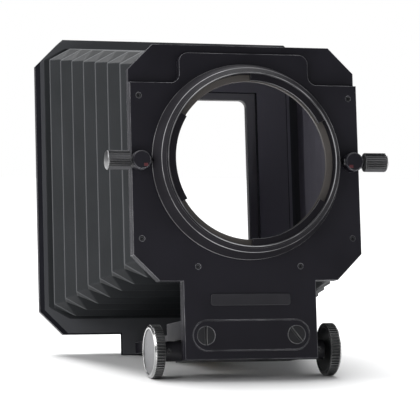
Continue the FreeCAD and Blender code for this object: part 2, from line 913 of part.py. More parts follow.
def make_end_plate():
    """The stadium-shaped plate on the rail's end, which stops the rail at full extension."""
    solid = stadium(
        "rail_end_plate_solid",
        2 * end_plate_half,
        c.end_plate_height,
        rail_level,
        cover_face,
        cover_face + c.end_plate_thick,
    )
    tools = []
    for word, side in SIDES:
        x = side * slot_screw_side
        seat = cover_face + c.slot_screw_head_thick
        tools.append(
            rod(
                f"rail_end_plate_seat_{word}",
                c.slot_screw_head + c.screw_gap,
                (x, cover_face - 1, -rail_level),
                seat,
                Y_AXIS,
            )
        )
        tools.append(
            rod(
                f"rail_end_plate_hole_{word}",
                c.slot_screw_shank + c.screw_gap,
                (x, cover_face - 1, -rail_level),
                cover_face + c.end_plate_thick + 1,
                Y_AXIS,
            )
        )
    return cut("rail_end_plate", solid, tools)


def make_end_screws():
    """Two slotted screws, one slot upright and one aslant, as they were last tightened."""
    seat = cover_face + c.slot_screw_head_thick
    angles = {"left": 90.0, "right": 52.0}
    screws = [
        slot_head(f"end_plate_screw_{word}", side * slot_screw_side, -rail_level, angles[word], seat)
        for word, side in SIDES
    ]
    return group("end_plate_screws", screws)


def make_rail():
    """The flat rail between the front tab and the end plate, grooved underneath for the rack."""
    half = rail_half
    start = cover_face + c.end_plate_thick
    low = (-half, start, -rail_bottom)
    solid = block("rail_solid", low, (half, front_start, -rail_top))
    groove_top = rack_tip_level - c.rack_addendum - c.rack_dedendum - c.rack_base
    groove = block(
        "rail_groove",
        (-gear_room, start - 1, -rail_bottom - 1),
        (gear_room, front_start + 1, -groove_top),
    )
    tools = [groove]
    for word, side in SIDES:
        shank = c.slot_screw_shank + c.screw_gap
        x = side * slot_screw_side
        end = cover_face + c.slot_screw_head_thick + c.slot_screw_length + c.clear_gap
        tools.append(rod(f"rail_screw_hole_{word}", shank, (x, start - 1, -rail_level), end, Y_AXIS))
    tools += rail_bolt_rods("rail_bolt_hole", c.rail_bolt_radius + c.screw_gap, front_start + 1)
    tools += rack_screw_rods("rail_rack_hole", c.rack_screw_radius + c.screw_gap, -rail_top)
    return cut("rail", solid, tools)


def rail_bolt_rods(name, radius, end):
    """Rods along the bolts that hold the front tab to the rail."""
    start = front_start + c.rear_frame_thick - c.rail_bolt_length
    return [
        rod(f"{name}_{word}", radius, (side * c.rail_bolt_side, start, -rail_bolt_level), end, Y_AXIS)
        for word, side in SIDES
    ]


def make_rail_bolts():
    """Bolts through the front tab into the rail, with round heads on the tab's front."""
    face = front_start + c.rear_frame_thick
    shanks = rail_bolt_rods("rail_bolt_shank", c.rail_bolt_radius, face)
    bolts = []
    for (word, side), shank in zip(SIDES, shanks):
        start = (side * c.rail_bolt_side, face, -rail_bolt_level)
        top = face + c.rail_bolt_head_thick
        head = rod(f"rail_bolt_head_{word}", c.rail_bolt_head, start, top, Y_AXIS)
        start = (side * c.rail_bolt_side, top - c.socket_depth, -rail_bolt_level)
        socket = hexagon(f"rail_bolt_socket_{word}", c.rail_bolt_head, start, top + 1, Y_AXIS)
        bolts.append(cut(f"rail_bolt_{word}", joined(f"rail_bolt_solid_{word}", [shank, head]), [socket]))
    return group("rail_bolts", bolts)


def rack_layout():
    """The rack's first tooth and their number. A gap between two teeth faces the pinion at rest."""
    pitch = math.pi * c.gear_module
    first = axle_forward - 3.5 * pitch
    count = ((front_start - c.rack_end_gap - first) / pitch).whole()
    return pitch, first, count


def make_rack():
    """The toothed strip in the rail's groove."""
    body = new_body("rack_strip")
    pitch, first, count = rack_layout()
    start = first - pitch / 2
    half = c.gear_width / 2
    root_level = pitch_level - c.rack_dedendum
    base = sketch_on(body, "base", "YZ_Plane", -half)
    draw_outline(
        base,
        [
            (start, -root_level),
            (start + pitch * count, -root_level),
            (start + pitch * count, -root_level + c.rack_base),
            (start, -root_level + c.rack_base),
        ],
    )
    pad(body, base, c.gear_width, "base")
    slope = math.tan(math.radians(20.0))
    middle = pitch / 4 - c.gear_backlash / 4
    tip = middle - slope * c.rack_addendum
    root = middle + slope * c.rack_dedendum
    tooth = sketch_on(body, "tooth", "YZ_Plane", -half)
    draw_outline(
        tooth,
        [
            (first - root, -root_level),
            (first - root, -root_level + c.clear_gap),
            (first + root, -root_level + c.clear_gap),
            (first + root, -root_level),
            (first + tip, -rack_tip_level),
            (first - tip, -rack_tip_level),
        ],
    )
    one = pad(body, tooth, c.gear_width, "tooth")
    doc.recompute()
    teeth = body.newObject("PartDesign::LinearPattern", "rack_teeth")
    teeth.Originals = [one]
    teeth.Direction = (base, ["H_Axis"])
    bind(teeth, "Length", pitch * (count - 1))
    bind(teeth, "Occurrences", count)
    body.Tip = teeth
    return cut("rack", body, rack_screw_rods("rack_hole", c.rack_screw_radius + c.screw_gap, -rail_top))


def rack_screw_rods(name, radius, top):
    """Rods on the lines of the screws that hold the rack, which stop short of its teeth."""
    start = axle_forward + c.rack_screw_start
    span = front_start - c.rack_screw_end - start
    floor = c.rack_screw_floor - pitch_level
    count = SIZES["rack_screw_count"]
    return [
        rod(f"{name}_{number}", radius, (0, start + span * number / (count - 1), floor), top, Z_AXIS)
        for number in range(count)
    ]


def make_rack_screws():
    return group("rack_screws", rack_screw_rods("rack_screw", c.rack_screw_radius, -rail_top))


def make_pinion():
    """The pinion, whose teeth have straight flanks between root, pitch and tip circles."""
    body = new_body("pinion")
    half = c.gear_width / 2 - c.clear_gap
    root = pinion_pitch_radius - c.gear_module * 0.92
    tip = pinion_pitch_radius + c.gear_module
    hub = sketch_on(body, "hub", "YZ_Plane", -half)
    draw_circle(hub, 0, 0, root)
    draw_circle(hub, 0, 0, c.axle_radius + c.press_gap)
    pad(body, hub, 2 * half, "hub")
    tooth = sketch_on(body, "tooth", "YZ_Plane", -half)
    pitch_half = math.pi * c.gear_module / 4 - c.gear_backlash / 4
    root_half = pitch_half * 1.12
    tip_half = pitch_half * 0.45
    sink = root - 0.2
    draw_outline(
        tooth,
        [
            (-root_half, sink),
            (root_half, sink),
            (root_half, root),
            (pitch_half, pinion_pitch_radius),
            (tip_half, tip),
            (-tip_half, tip),
            (-pitch_half, pinion_pitch_radius),
            (-root_half, root),
        ],
    )
    one = pad(body, tooth, 2 * half, "tooth")
    doc.recompute()
    teeth = body.newObject("PartDesign::PolarPattern", "pinion_teeth_ring")
    teeth.Originals = [one]
    teeth.Axis = (tooth, ["N_Axis"])
    teeth.Angle = 360
    bind(teeth, "Occurrences", c.pinion_teeth)
    body.Tip = teeth
    place(body, 0, axle_forward, -axle_level)
    return body


def make_axle():
    reach = knob_outer - c.knob_disc_thick - c.knob_recess - c.sliding_gap
    return rod("focus_axle", c.axle_radius, (-reach, axle_forward, -axle_level), reach, X_AXIS)


def make_focus_knob(word, side):
    """A coin-shaped focusing knob with a bevelled rim and a recess for its disc."""
    seat = knob_outer - c.knob_recess - c.knob_disc_thick
    hole = c.axle_radius + c.press_gap
    disc = c.knob_disc_radius + c.screw_gap
    profile = [
        (knob_inner, hole),
        (knob_inner, c.knob_radius - c.knob_back_bevel),
        (knob_inner + c.knob_back_bevel, c.knob_radius),
        (knob_outer - c.knob_bevel, c.knob_radius),
        (knob_outer, c.knob_radius - c.knob_bevel),
        (knob_outer, disc),
        (seat, disc),
        (seat, hole),
    ]
    body = turned(f"focus_knob_{word}", [(side * x, radius) for x, radius in profile], "H_Axis")
    place(body, 0, axle_forward, -axle_level)
    return body


def make_knob_disc(word, side):
    """The plain satin disc in a focusing knob's face."""
    start = knob_outer - c.knob_recess - c.knob_disc_thick
    end = start + c.knob_disc_thick
    profile = [(start, 0), (start, c.knob_disc_radius), (end, c.knob_disc_radius), (end, 0)]
    body = turned(f"knob_disc_{word}", [(side * x, radius) for x, radius in profile], "H_Axis")
    place(body, 0, axle_forward, -axle_level)
    return body


def front_outline(tab=True):
    """The front frame's chamfered outline, with or without the tab that carries the rail."""
    half = front_half
    low = [(-half, -front_bottom + c.front_chamfer), (-half + c.front_chamfer, -front_bottom)]
    if tab:
        side = front_tab_half
        low += [(-side, -front_bottom), (-side, -front_tab_bottom)]
        low += [(side, -front_tab_bottom), (side, -front_bottom)]
    return low + [
        (half - c.front_chamfer, -front_bottom),
        (half, -front_bottom + c.front_chamfer),
        (half, front_top - c.front_chamfer),
        (half - c.front_chamfer, front_top),
        (-half + c.front_chamfer, front_top),
        (-half, front_top - c.front_chamfer),
    ]


def frame_holes(name, start, end):
    return [
        rod(f"{name}_{number}", c.frame_screw_radius + c.screw_gap, (x, start, z), end, Y_AXIS)
        for number, (x, z) in enumerate(frame_dots, start=1)
    ]


def make_front_frame():
    """The front standard's rear plate, with the tab that is bolted to the rail."""
    margin = c.rear_window_margin
    window = rectangle(window_half + margin, window_top + margin, window_bottom + margin)
    solid = plate("front_frame_solid", front_outline(), front_start, c.rear_frame_thick, [window])
    tools = frame_holes("front_frame_screw", front_start - 1, filter_start + 1)
    tools += rail_bolt_rods("front_frame_bolt", c.rail_bolt_radius + c.screw_gap, filter_start + 1)
    return cut("front_frame", solid, tools)


def make_filter_frame():
    """The U-shaped spacer that leaves a slot, open at the top, for a filter or mask holder."""
    half = front_half
    slot = slot_half
    outline = [
        (-half, -front_bottom + c.front_chamfer),
        (-half + c.front_chamfer, -front_bottom),
        (half - c.front_chamfer, -front_bottom),
        (half, -front_bottom + c.front_chamfer),
        (half, front_top - c.front_chamfer),
        (half - c.front_chamfer, front_top),
        (slot, front_top),
        (slot, -slot_bottom),
        (-slot, -slot_bottom),
        (-slot, front_top),
        (-half + c.front_chamfer, front_top),
        (-half, front_top - c.front_chamfer),
    ]
    solid = plate("filter_frame_solid", outline, filter_start, c.filter_thick)
    return cut("filter_frame", solid, frame_holes("filter_frame_screw", filter_start - 1, front_plate_start + 1))


def make_front_plate():
    """The foremost plate, with the rounded window that masks the light."""
    window = rectangle(window_half, window_top, window_bottom)
    solid = plate(
        "front_plate_solid", front_outline(tab=False), front_plate_start, c.front_plate_thick, [window]
    )
    round_edges(solid, window, c.window_round)
    return cut("front_plate", solid, frame_holes("front_plate_screw", front_plate_start - 1, front_end + 1))


def make_frame_screws():
    """Four screws that hold the front standard's three layers together."""
    screws = []
    for number, (x, z) in enumerate(frame_dots, start=1):
        start = (x, front_start + c.frame_screw_cover, z)
        solid = rod(f"frame_screw_{number}_solid", c.frame_screw_radius, start, front_end, Y_AXIS)
        start = (x, front_end - c.socket_depth, z)
        socket = hexagon(f"frame_screw_{number}_socket", c.frame_screw_radius, start, front_end + 1, Y_AXIS)
        screws.append(cut(f"frame_screw_{number}", solid, [socket]))
    return group("frame_screws", screws)


def bellows_section(y, ridge, inset):
    """The corners of the bellows' outline at a station: eight on a ridge, four in a valley."""
    share = (y - plates_back.value) / front_gap.value
    half = near_half.value + share * (c.bellows_far_width / 2 - near_half).value
    top = near_top.value + share * (c.bellows_far_top - near_top).value
    bottom = -near_bottom.value - share * (c.bellows_far_bottom - near_bottom).value
    half, top, bottom = half - inset, top - inset, bottom + inset
    if ridge:
        wide, high = c.pleat_corner_width.value, c.pleat_corner_height.value
        flat = [
            (half, bottom + high),
            (half, top - high),
            (half - wide, top),
            (-half + wide, top),
            (-half, top - high),
            (-half, bottom + high),
            (-half + wide, bottom),
            (half - wide, bottom),
        ]
    else:
        half = half - c.pleat_side_inset.value
        top = top - c.pleat_end_inset.value
        bottom = bottom + c.pleat_end_inset.value
        flat = [(half, bottom), (half, top), (-half, top), (-half, bottom)]
    return [FreeCAD.Vector(x, y, z) for x, z in flat]


def bellows_stations():
    """Where the folds lie along Y, and which are ridges: a valley at each end and between ridges."""
    near = (plates_back + c.running_gap).value
    far = (front_start - c.running_gap).value
    first = plates_back.value + c.first_ridge.value
    pitch = c.pleat_pitch.value
    count = int(c.pleat_count.value)
    stations = [(near, False)]
    for number in range(count):
        ridge = first + number * pitch
        if number:
            stations.append((ridge - pitch / 2, False))
        stations.append((ridge, True))
    return stations + [(far, False)]


def facet(*corners):
    return Part.Face(Part.makePolygon(list(corners) + [corners[0]]))


def fold_faces(ridge, valley):
    """Flat panels between a ridge and the valley beside it: four sides and four corner triangles."""
    faces = []
    for number in range(4):
        first, last = ridge[2 * number], ridge[2 * number + 1]
        start, end = valley[number], valley[(number + 1) % 4]
        faces.append(facet(first, last, end, start))
        faces.append(facet(last, ridge[(2 * number + 2) % 8], end))
    return faces


def make_bellows():
    """The pleated skin: an outer and an inner folded surface, closed by a rim at each end."""
    stations = bellows_stations()
    faces = []
    ends = []
    for inset in (0.0, c.bellows_skin.value):
        sections = [(bellows_section(y, ridge, inset), ridge) for y, ridge in stations]
        for (first, ridge), (last, _) in zip(sections, sections[1:]):
            faces += fold_faces(first, last) if ridge else fold_faces(last, first)
        ends.append((sections[0][0], sections[-1][0]))
    for outer, inner in zip(*ends):
        rim = [Part.makePolygon(ring + [ring[0]]) for ring in (outer, inner)]
        faces.append(Part.Face(rim))
    skin = Part.makeSolid(Part.makeShell(faces))
    skin.fix(1e-4, 1e-4, 1e-4)
    bellows = doc.addObject("Part::Feature", "bellows")
    bellows.Shape = skin
    return bellows


def make_clamp_frame(name, start, half_width, top, bottom):
    """A thin frame inside the bellows' end, which holds the skin to its plate."""
    inner = rectangle(half_width - c.clamp_band, top - c.clamp_band, bottom - c.clamp_band)
    return plate(name, rectangle(half_width, top, bottom), start, c.clamp_thick, [inner])


def make_clamps():
    inset = c.pleat_side_inset + c.bellows_skin + c.clamp_margin
    drop = c.pleat_end_inset + c.bellows_skin + c.clamp_margin
    near = make_clamp_frame(
        "bellows_rear_clamp",
        plates_back,
        near_half - inset,
        near_top - drop,
        near_bottom - drop,
    )
    far = make_clamp_frame(
        "bellows_front_clamp",
        front_start - c.clamp_thick,
        c.bellows_far_width / 2 - inset,
        c.bellows_far_top - drop,
        c.bellows_far_bottom - drop,
    )
    return [near, far]


def make_all():
    pieces = [
        make_back_plate(),
        make_cover_plate(),
        make_cover_screws(),
        make_name_plate(),
        make_guide_block(),
        make_gear_housing(),
        make_housing_bolts(),
        make_grub_screws(),
        make_marks(),
        make_mount_ring(),
        make_bayonet_sleeve(),
        make_bayonet_seat(),
        make_end_plate(),
        make_end_screws(),
        make_rail(),
        make_rail_bolts(),
        make_rack(),
        make_rack_screws(),
        make_pinion(),
        make_axle(),
        make_front_frame(),
        make_filter_frame(),
        make_front_plate(),
        make_frame_screws(),
        make_bellows(),
    ]
    pieces += make_clamps()
    for word, side in SIDES:
        pieces += [
            make_bush(word, side),
            make_post(word, side),
            make_stud(word, side),
            make_thumb_knob(word, side),
            make_focus_knob(word, side),
            make_knob_disc(word, side),
        ]
    return pieces


def check_document():
    """Stops if any feature failed to rebuild."""
    failed = [thing.Name for thing in doc.Objects if {"Invalid", "Error"} & set(thing.State)]
    if failed:
        raise RuntimeError(f"features that failed: {failed}")


def write_pieces(pieces):
    for piece in pieces:
        shape = piece.Shape
        if shape.isNull() or not shape.isValid() or not shape.Solids:
            raise RuntimeError(f"{piece.Label} has no sound solid")
        shape.exportStep(f"parts/{piece.Label}.step")
        box = shape.BoundBox
        print(
            f"{piece.Label:22s} solids {len(shape.Solids):2d} volume {shape.Volume:10.1f}"
            f"  x {box.XMin:7.1f} {box.XMax:7.1f}  y {box.YMin:7.1f} {box.YMax:7.1f}"
            f"  z {box.ZMin:7.1f} {box.ZMax:7.1f}"
        )


pieces = make_all()
doc.recompute()
check_document()
write_pieces(pieces)
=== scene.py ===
# %% [markdown]
# # A bellows lens hood, dressed for its picture
# The object is a folding lens hood: a small plate with a bayonet ring goes on the lens, a pleated bellows
# widens towards a large front frame, and a knob drives the frame out on a rail. The CAD model already
# has every hard piece at its true size, so this script adds the bellows cloth, the knurled rims and the
# finishes, and then a floor, a few soft lights and the camera.

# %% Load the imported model
import json
import math

import bmesh
import bpy
from mathutils import Matrix, Vector


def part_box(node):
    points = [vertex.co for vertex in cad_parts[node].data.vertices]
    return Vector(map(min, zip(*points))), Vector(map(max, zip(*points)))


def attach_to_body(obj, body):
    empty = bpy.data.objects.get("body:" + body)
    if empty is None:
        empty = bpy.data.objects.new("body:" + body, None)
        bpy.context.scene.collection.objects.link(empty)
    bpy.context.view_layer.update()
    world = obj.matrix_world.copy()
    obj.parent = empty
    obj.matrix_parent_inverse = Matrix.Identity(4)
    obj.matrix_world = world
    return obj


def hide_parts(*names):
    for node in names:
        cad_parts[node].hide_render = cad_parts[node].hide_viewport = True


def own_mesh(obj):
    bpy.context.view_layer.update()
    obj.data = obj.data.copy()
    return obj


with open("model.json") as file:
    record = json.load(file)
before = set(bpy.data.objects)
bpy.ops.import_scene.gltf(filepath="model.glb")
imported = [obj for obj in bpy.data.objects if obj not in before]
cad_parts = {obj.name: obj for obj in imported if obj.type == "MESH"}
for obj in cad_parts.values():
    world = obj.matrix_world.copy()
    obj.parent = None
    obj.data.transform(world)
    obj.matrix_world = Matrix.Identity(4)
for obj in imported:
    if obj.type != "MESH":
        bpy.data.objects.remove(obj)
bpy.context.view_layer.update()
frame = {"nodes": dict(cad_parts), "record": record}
MM = 0.001
print("nodes in the frame:", len(frame["nodes"]))

# %% [markdown]
# ## Helpers for node trees
# Both the finishes and the repeated shapes are node trees. Long chains of Math nodes are hard to read when
# each one takes four lines, so a small class adds a node, links or sets its inputs, and hands back its
# output. The trees below then read like formulas.


# %% A small builder for node trees
class Tree:
    """Adds nodes to a tree. An input given as a socket is linked, and any other value is set."""

    def __init__(self, tree):
        self.tree = tree

    def feed(self, socket, value):
        if isinstance(value, bpy.types.NodeSocket):
            self.tree.links.new(value, socket)
        else:
            socket.default_value = value

    def add(self, kind, inputs=None, **settings):
        node = self.tree.nodes.new(kind)
        for name, value in settings.items():
            setattr(node, name, value)
        for name, value in (inputs or {}).items():
            self.feed(node.inputs[name], value)
        return node

    def math(self, operation, first, second=0.0, third=0.0):
        values = {0: first, 1: second, 2: third}
        return self.add("ShaderNodeMath", values, operation=operation).outputs[0]

    def vector_math(self, operation, first, second=(0.0, 0.0, 0.0)):
        node = self.add("ShaderNodeVectorMath", {0: first, 1: second}, operation=operation)
        return node.outputs["Value" if operation in ("DOT_PRODUCT", "LENGTH") else "Vector"]

    def remap(self, value, low, high, new_low=0.0, new_high=1.0):
        names = ("Value", "From Min", "From Max", "To Min", "To Max")
        values = dict(zip(names, (value, low, high, new_low, new_high)))
        return self.add("ShaderNodeMapRange", values, clamp=True).outputs["Result"]

    def blend(self, share, first, second):
        node = self.add("ShaderNodeMix", data_type="RGBA")
        for socket, value in zip((node.inputs[0], node.inputs[6], node.inputs[7]), (share, first, second)):
            self.feed(socket, value)
        return node.outputs[2]


def new_group(name, kind, inputs, outputs):
    """A group with named sockets, {name: (kind of socket, default)}. Hands back its builder and ends."""
    group = bpy.data.node_groups.new(name, kind)
    for label, (socket_kind, default) in inputs.items():
        socket = group.interface.new_socket(label, in_out="INPUT", socket_type=socket_kind)
        if default is not None:
            socket.default_value = default
    for label, socket_kind in outputs.items():
        group.interface.new_socket(label, in_out="OUTPUT", socket_type=socket_kind)
    return Tree(group), group.nodes.new("NodeGroupInput"), group.nodes.new("NodeGroupOutput")


FLOAT = "NodeSocketFloat"
VECTOR = "NodeSocketVector"
GEOMETRY = "NodeSocketGeometry"
MATERIAL = "NodeSocketMaterial"
COUNT = "NodeSocketInt"
print("tree helpers ready")

# %% [markdown]
# ## Effects that several finishes share
# Black anodised parts are not one flat black. Their corners are rubbed bright, and the lighter colour there
# is also a painted highlight. The sheet has a fine grain, and turned parts carry the lathe's rings. A bright
# line along a whole circle of a turned edge is partly wear and partly a painted highlight, and faces that
# look back at the lens, inside the hood most of all, get a lighter colour as painted light. Each effect
# could be painted into every material, but then a change would have to be made many times. Here each is a
# node group that gives a mask, a height or a normal, and the material decides what to do with it.


# %% Rubbed corners with a painted highlight
def make_corner_group():
    """A mask that is 1 on sharp corners, where the normal differs from its average over a small radius. The
    lighter colour it lays on is partly wear and partly a painted highlight.
    """
    build, start, end = new_group(
        "worn_and_highlit_corners",
        "ShaderNodeTree",
        {"Radius": (FLOAT, 0.0004), "Wear And Highlight": (FLOAT, 0.5)},
        {"Mask": FLOAT, "Normal": VECTOR},
    )
    rounded = build.add("ShaderNodeBevel", {"Radius": start.outputs["Radius"]}, samples=6).outputs[0]
    flat = build.add("ShaderNodeNewGeometry").outputs["Normal"]
    agreement = build.vector_math("DOT_PRODUCT", rounded, flat)
    corner = build.remap(agreement, 0.99, 0.88)
    place = build.add("ShaderNodeTexCoord").outputs["Object"]
    patches = build.add("ShaderNodeTexNoise", {"Vector": place, "Scale": 130.0, "Detail": 5.0}).outputs[0]
    wear_and_highlight_share = build.remap(patches, 0.36, 0.64, 0.22, 1.0)
    mask = build.math("MULTIPLY", corner, build.math("MULTIPLY", wear_and_highlight_share, start.outputs["Wear And Highlight"]))
    build.feed(end.inputs["Mask"], mask)
    build.feed(end.inputs["Normal"], rounded)
    return build.tree


corner_group = make_corner_group()
print("group:", corner_group.name)


# %% Fine grain
def make_grain_group():
    """Height and tone that vary a little from place to place, as on blasted and anodised metal."""
    build, start, end = new_group(
        "fine_grain", "ShaderNodeTree", {"Grain": (FLOAT, 2500.0)}, {"Height": FLOAT, "Tone": FLOAT}
    )
    place = build.add("ShaderNodeTexCoord").outputs["Object"]
    fine = build.add(
        "ShaderNodeTexNoise", {"Vector": place, "Scale": start.outputs["Grain"], "Detail": 2.0}
    )
    broad = build.add("ShaderNodeTexNoise", {"Vector": place, "Scale": 45.0, "Detail": 4.0})
    build.feed(end.inputs["Height"], fine.outputs[0])
    build.feed(end.inputs["Tone"], build.remap(broad.outputs[0], 0.3, 0.7))
    return build.tree


grain_group = make_grain_group()
print("group:", grain_group.name)


# %% Lathe rings
def make_lathe_group():
    """Fine rings about an axis, as a turning tool leaves them. Across is 0 along the axis, otherwise 1."""
    build, start, end = new_group(
        "lathe_rings",
        "ShaderNodeTree",
        {"Centre": (VECTOR, None), "Across": (VECTOR, None), "Pitch": (FLOAT, 0.0003)},
        {"Height": FLOAT},
    )
    place = build.add("ShaderNodeTexCoord").outputs["Object"]
    arm = build.vector_math("SUBTRACT", place, start.outputs["Centre"])
    arm = build.vector_math("MULTIPLY", arm, start.outputs["Across"])
    radius = build.vector_math("LENGTH", arm)
    turns = build.math("DIVIDE", radius, start.outputs["Pitch"])
    wave = build.math("SINE", build.math("MULTIPLY", turns, 2.0 * math.pi))
    build.feed(end.inputs["Height"], wave)
    return build.tree


lathe_group = make_lathe_group()
print("group:", lathe_group.name)


# %% A circular edge, worn and with a painted highlight
def make_edge_group():
    """A mask that is 1 along one circle about the optical axis, where a turned piece has a sharp edge. The
    bright line it gives is partly wear and partly a painted highlight.
    """
    build, start, end = new_group(
        "worn_and_highlit_circle",
        "ShaderNodeTree",
        {"Radius": (FLOAT, 0.04), "Depth": (FLOAT, 0.0), "Width": (FLOAT, 0.00026)},
        {"Mask": FLOAT},
    )
    place = build.add("ShaderNodeTexCoord").outputs["Object"]
    axes = build.add("ShaderNodeSeparateXYZ", {0: place})
    flat = build.add("ShaderNodeCombineXYZ", {"X": axes.outputs["X"], "Y": axes.outputs["Z"]}).outputs[0]
    away = build.math("SUBTRACT", build.vector_math("LENGTH", flat), start.outputs["Radius"])
    along = build.math("SUBTRACT", axes.outputs["Y"], start.outputs["Depth"])
    offset = build.add("ShaderNodeCombineXYZ", {"X": away, "Y": along}).outputs[0]
    distance = build.math("DIVIDE", build.vector_math("LENGTH", offset), start.outputs["Width"])
    patches = build.add("ShaderNodeTexNoise", {"Vector": place, "Scale": 45.0, "Detail": 4.0}).outputs[0]
    wear_and_highlight_share = build.remap(patches, 0.38, 0.62, 0.2, 1.0)
    build.feed(end.inputs["Mask"], build.math("MULTIPLY", build.remap(distance, 1.0, 0.5), wear_and_highlight_share))
    return build.tree


edge_group = make_edge_group()
print("group:", edge_group.name)


# %% Facing, for painted light
def make_facing_group():
    """A mask that is 1 where a face looks back at the lens, as far out from the axis as Reach. It places
    painted light: such faces get a lighter colour.
    """
    build, start, end = new_group("painted_light_back_faces", "ShaderNodeTree", {"Reach": (FLOAT, 1.0)}, {"Mask": FLOAT})
    normal = build.add("ShaderNodeNewGeometry").outputs["True Normal"]
    local = build.add("ShaderNodeVectorTransform", {0: normal}, convert_from="WORLD", convert_to="OBJECT")
    local.vector_type = "NORMAL"
    place = build.add("ShaderNodeTexCoord").outputs["Object"]
    back = build.vector_math("DOT_PRODUCT", local.outputs[0], (0.0, -1.0, 0.0))
    parts = build.add("ShaderNodeSeparateXYZ", {0: place}).outputs
    sideways = build.math("ABSOLUTE", parts["X"])
    upwards = build.math("ABSOLUTE", parts["Z"])
    within = build.math("LESS_THAN", build.math("MAXIMUM", sideways, upwards), start.outputs["Reach"])
    build.feed(end.inputs["Mask"], build.math("MULTIPLY", build.remap(back, 0.6, 0.9), within))
    return build.tree


facing_group = make_facing_group()
print("group:", facing_group.name)


# %% [markdown]
# ## The finishes
# Every material starts from the same Principled shader. The plates are satin black: the anodised colour
# is nearly black, so the shape is read from its edges, which are rubbed and carry a painted highlight,
# and from soft reflections. A simple way would be one roughness for all. The real hood has satin plates,
# a duller turned ring and polished rims, so each gets its own roughness, and the turned parts get lathe
# rings as well.


# %% One function for the metal finishes
def place_group(build, group, inputs):
    node = build.add("ShaderNodeGroup", node_tree=group)
    for name, value in inputs.items():
        build.feed(node.inputs[name], value)
    return node


def metal(
    name,
    colour,
    worn_and_highlit,
    roughness,
    metallic=0.0,
    corner=0.0004,
    wear_and_highlight=0.5,
    lathe=None,
    bump=0.1,
    gloss=0.5,
    edges=(),
    facing=(),
):
    """A metal finish with corners lightened partly by wear and partly by a painted highlight, grain, and
    lathe rings where it was turned.

    edges lists (radius, depth) of circles that get a bright line, partly wear and partly a painted
    highlight.
    facing lists (reach, colour): the colour of the faces that look back at the lens, as far out from the
    axis as the reach, which is painted light. Both are in millimetres.
    """
    material = bpy.data.materials.new(name)
    material.use_nodes = True
    build = Tree(material.node_tree)
    shader = material.node_tree.nodes["Principled BSDF"]
    corners = place_group(build, corner_group, {"Radius": corner, "Wear And Highlight": wear_and_highlight})
    grains = place_group(build, grain_group, {"Grain": 2500.0})
    darker = [channel * 0.7 for channel in colour] + [1.0]
    toned = build.blend(grains.outputs["Tone"], darker, list(colour) + [1.0])
    # Painted light: faces that look back at the lens get a lighter colour, out to each reach.
    for reach, painted_light_colour in facing:
        sides = place_group(build, facing_group, {"Reach": reach * MM})
        toned = build.blend(sides.outputs["Mask"], toned, list(painted_light_colour) + [1.0])
    # Corners and the listed circles take the lighter colour: partly wear, partly a painted highlight.
    bright = corners.outputs["Mask"]
    for radius, depth in edges:
        circle = place_group(build, edge_group, {"Radius": radius * MM, "Depth": depth * MM})
        bright = build.math("MAXIMUM", bright, circle.outputs["Mask"])
    build.feed(shader.inputs["Base Color"], build.blend(bright, toned, list(worn_and_highlit) + [1.0]))
    uneven = build.remap(grains.outputs["Tone"], 0.0, 1.0, roughness * 0.85, roughness * 1.15)
    build.feed(shader.inputs["Roughness"], uneven)
    shader.inputs["Metallic"].default_value = metallic
    shader.inputs["Specular IOR Level"].default_value = gloss
    height = grains.outputs["Height"]
    if lathe:
        rings = place_group(build, lathe_group, lathe)
        height = build.math("MULTIPLY_ADD", rings.outputs["Height"], 0.6, height)
    relief = build.add(
        "ShaderNodeBump",
        {"Strength": bump, "Distance": 0.00004, "Height": height, "Normal": corners.outputs["Normal"]},
    )
    build.feed(shader.inputs["Normal"], relief.outputs[0])
    return material


print("metal function ready")

# %% [markdown]
# ## The tables of metal finishes
# Each row is one finish: its colour, the colour of its rubbed corners, which is also a painted
# highlight, its roughness and so on. Many rows are a material slot of the imported record. The others are
# for pieces that share a slot and still look different. The sleeve is darker than the ring, the slotted
# screws are worn and their rims carry a painted highlight, and the front frame gets painted light on the
# faces that look back at the lens, most of all inside the bellows. A list after the tables names such CAD
# pieces.

# %% Places that the finishes refer to
# An edge is a radius and a depth, and a reach is a distance from the optical axis, in millimetres.
ABOUT_X = (0.0, 1.0, 1.0)
ABOUT_Y = (1.0, 0.0, 1.0)
axle_low, axle_high = (Vector(corner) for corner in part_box("focus_axle"))
axle_centre = (axle_low + axle_high) / 2
axle_line = (0.0, axle_centre.y, axle_centre.z)
optical_axis = (0.0, 0.0, 0.0)
# Bright lines on these edges are partly wear and partly a painted highlight.
RING_FOOT_EDGE = (42.3, 8.4)
CONE_EDGE = (39.8, 1.75)
MOUTH_EDGE = (37.4, -0.4)
LUG_EDGE = (34.0, 0.2)
# Out to these reaches from the axis, faces that look back at the lens get painted light.
WHOLE_FRAME = 100.0
BELLOWS_INSIDE = 57.0
print("axle line:", [round(number, 4) for number in axle_line])

# %% Keep each finish under its name
finish = {}


def add_metals(table):
    """Makes a material for each row of a table."""
    for name, settings in table.items():
        finish[name] = metal(name, **settings)
    print("finishes so far:", ", ".join(finish))


# %% Black plates and frame
black_sheets = {
    "plate_black": {
        "colour": (0.0066, 0.0058, 0.0105),
        "worn_and_highlit": (0.5, 0.5, 0.53),
        "roughness": 0.52,
        "wear_and_highlight": 0.8,
        "gloss": 0.27,
    },
    "frame_black": {
        "colour": (0.01, 0.01, 0.0125),
        "worn_and_highlit": (0.03, 0.03, 0.033),
        "roughness": 0.6,
        "wear_and_highlight": 0.0,
        "gloss": 0.0,
        # Painted light on faces that look back at the lens, lightest inside the bellows.
        "facing": ((WHOLE_FRAME, (0.075, 0.077, 0.083)), (BELLOWS_INSIDE, (0.25, 0.244, 0.28))),
    },
    "window_black": {
        "colour": (0.0075, 0.0066, 0.0115),
        "worn_and_highlit": (0.3, 0.3, 0.32),
        "roughness": 0.52,
        "wear_and_highlight": 0.6,
        "gloss": 0.3,
        # Painted light on faces that look back at the lens inside the bellows.
        "facing": ((BELLOWS_INSIDE, (0.25, 0.245, 0.275)),),
    },
    "name_black": {
        "colour": (0.024, 0.023, 0.028),
        "worn_and_highlit": (0.2, 0.2, 0.21),
        "roughness": 0.42,
        "wear_and_highlight": 0.3,
        "gloss": 0.35,
    },
}
add_metals(black_sheets)

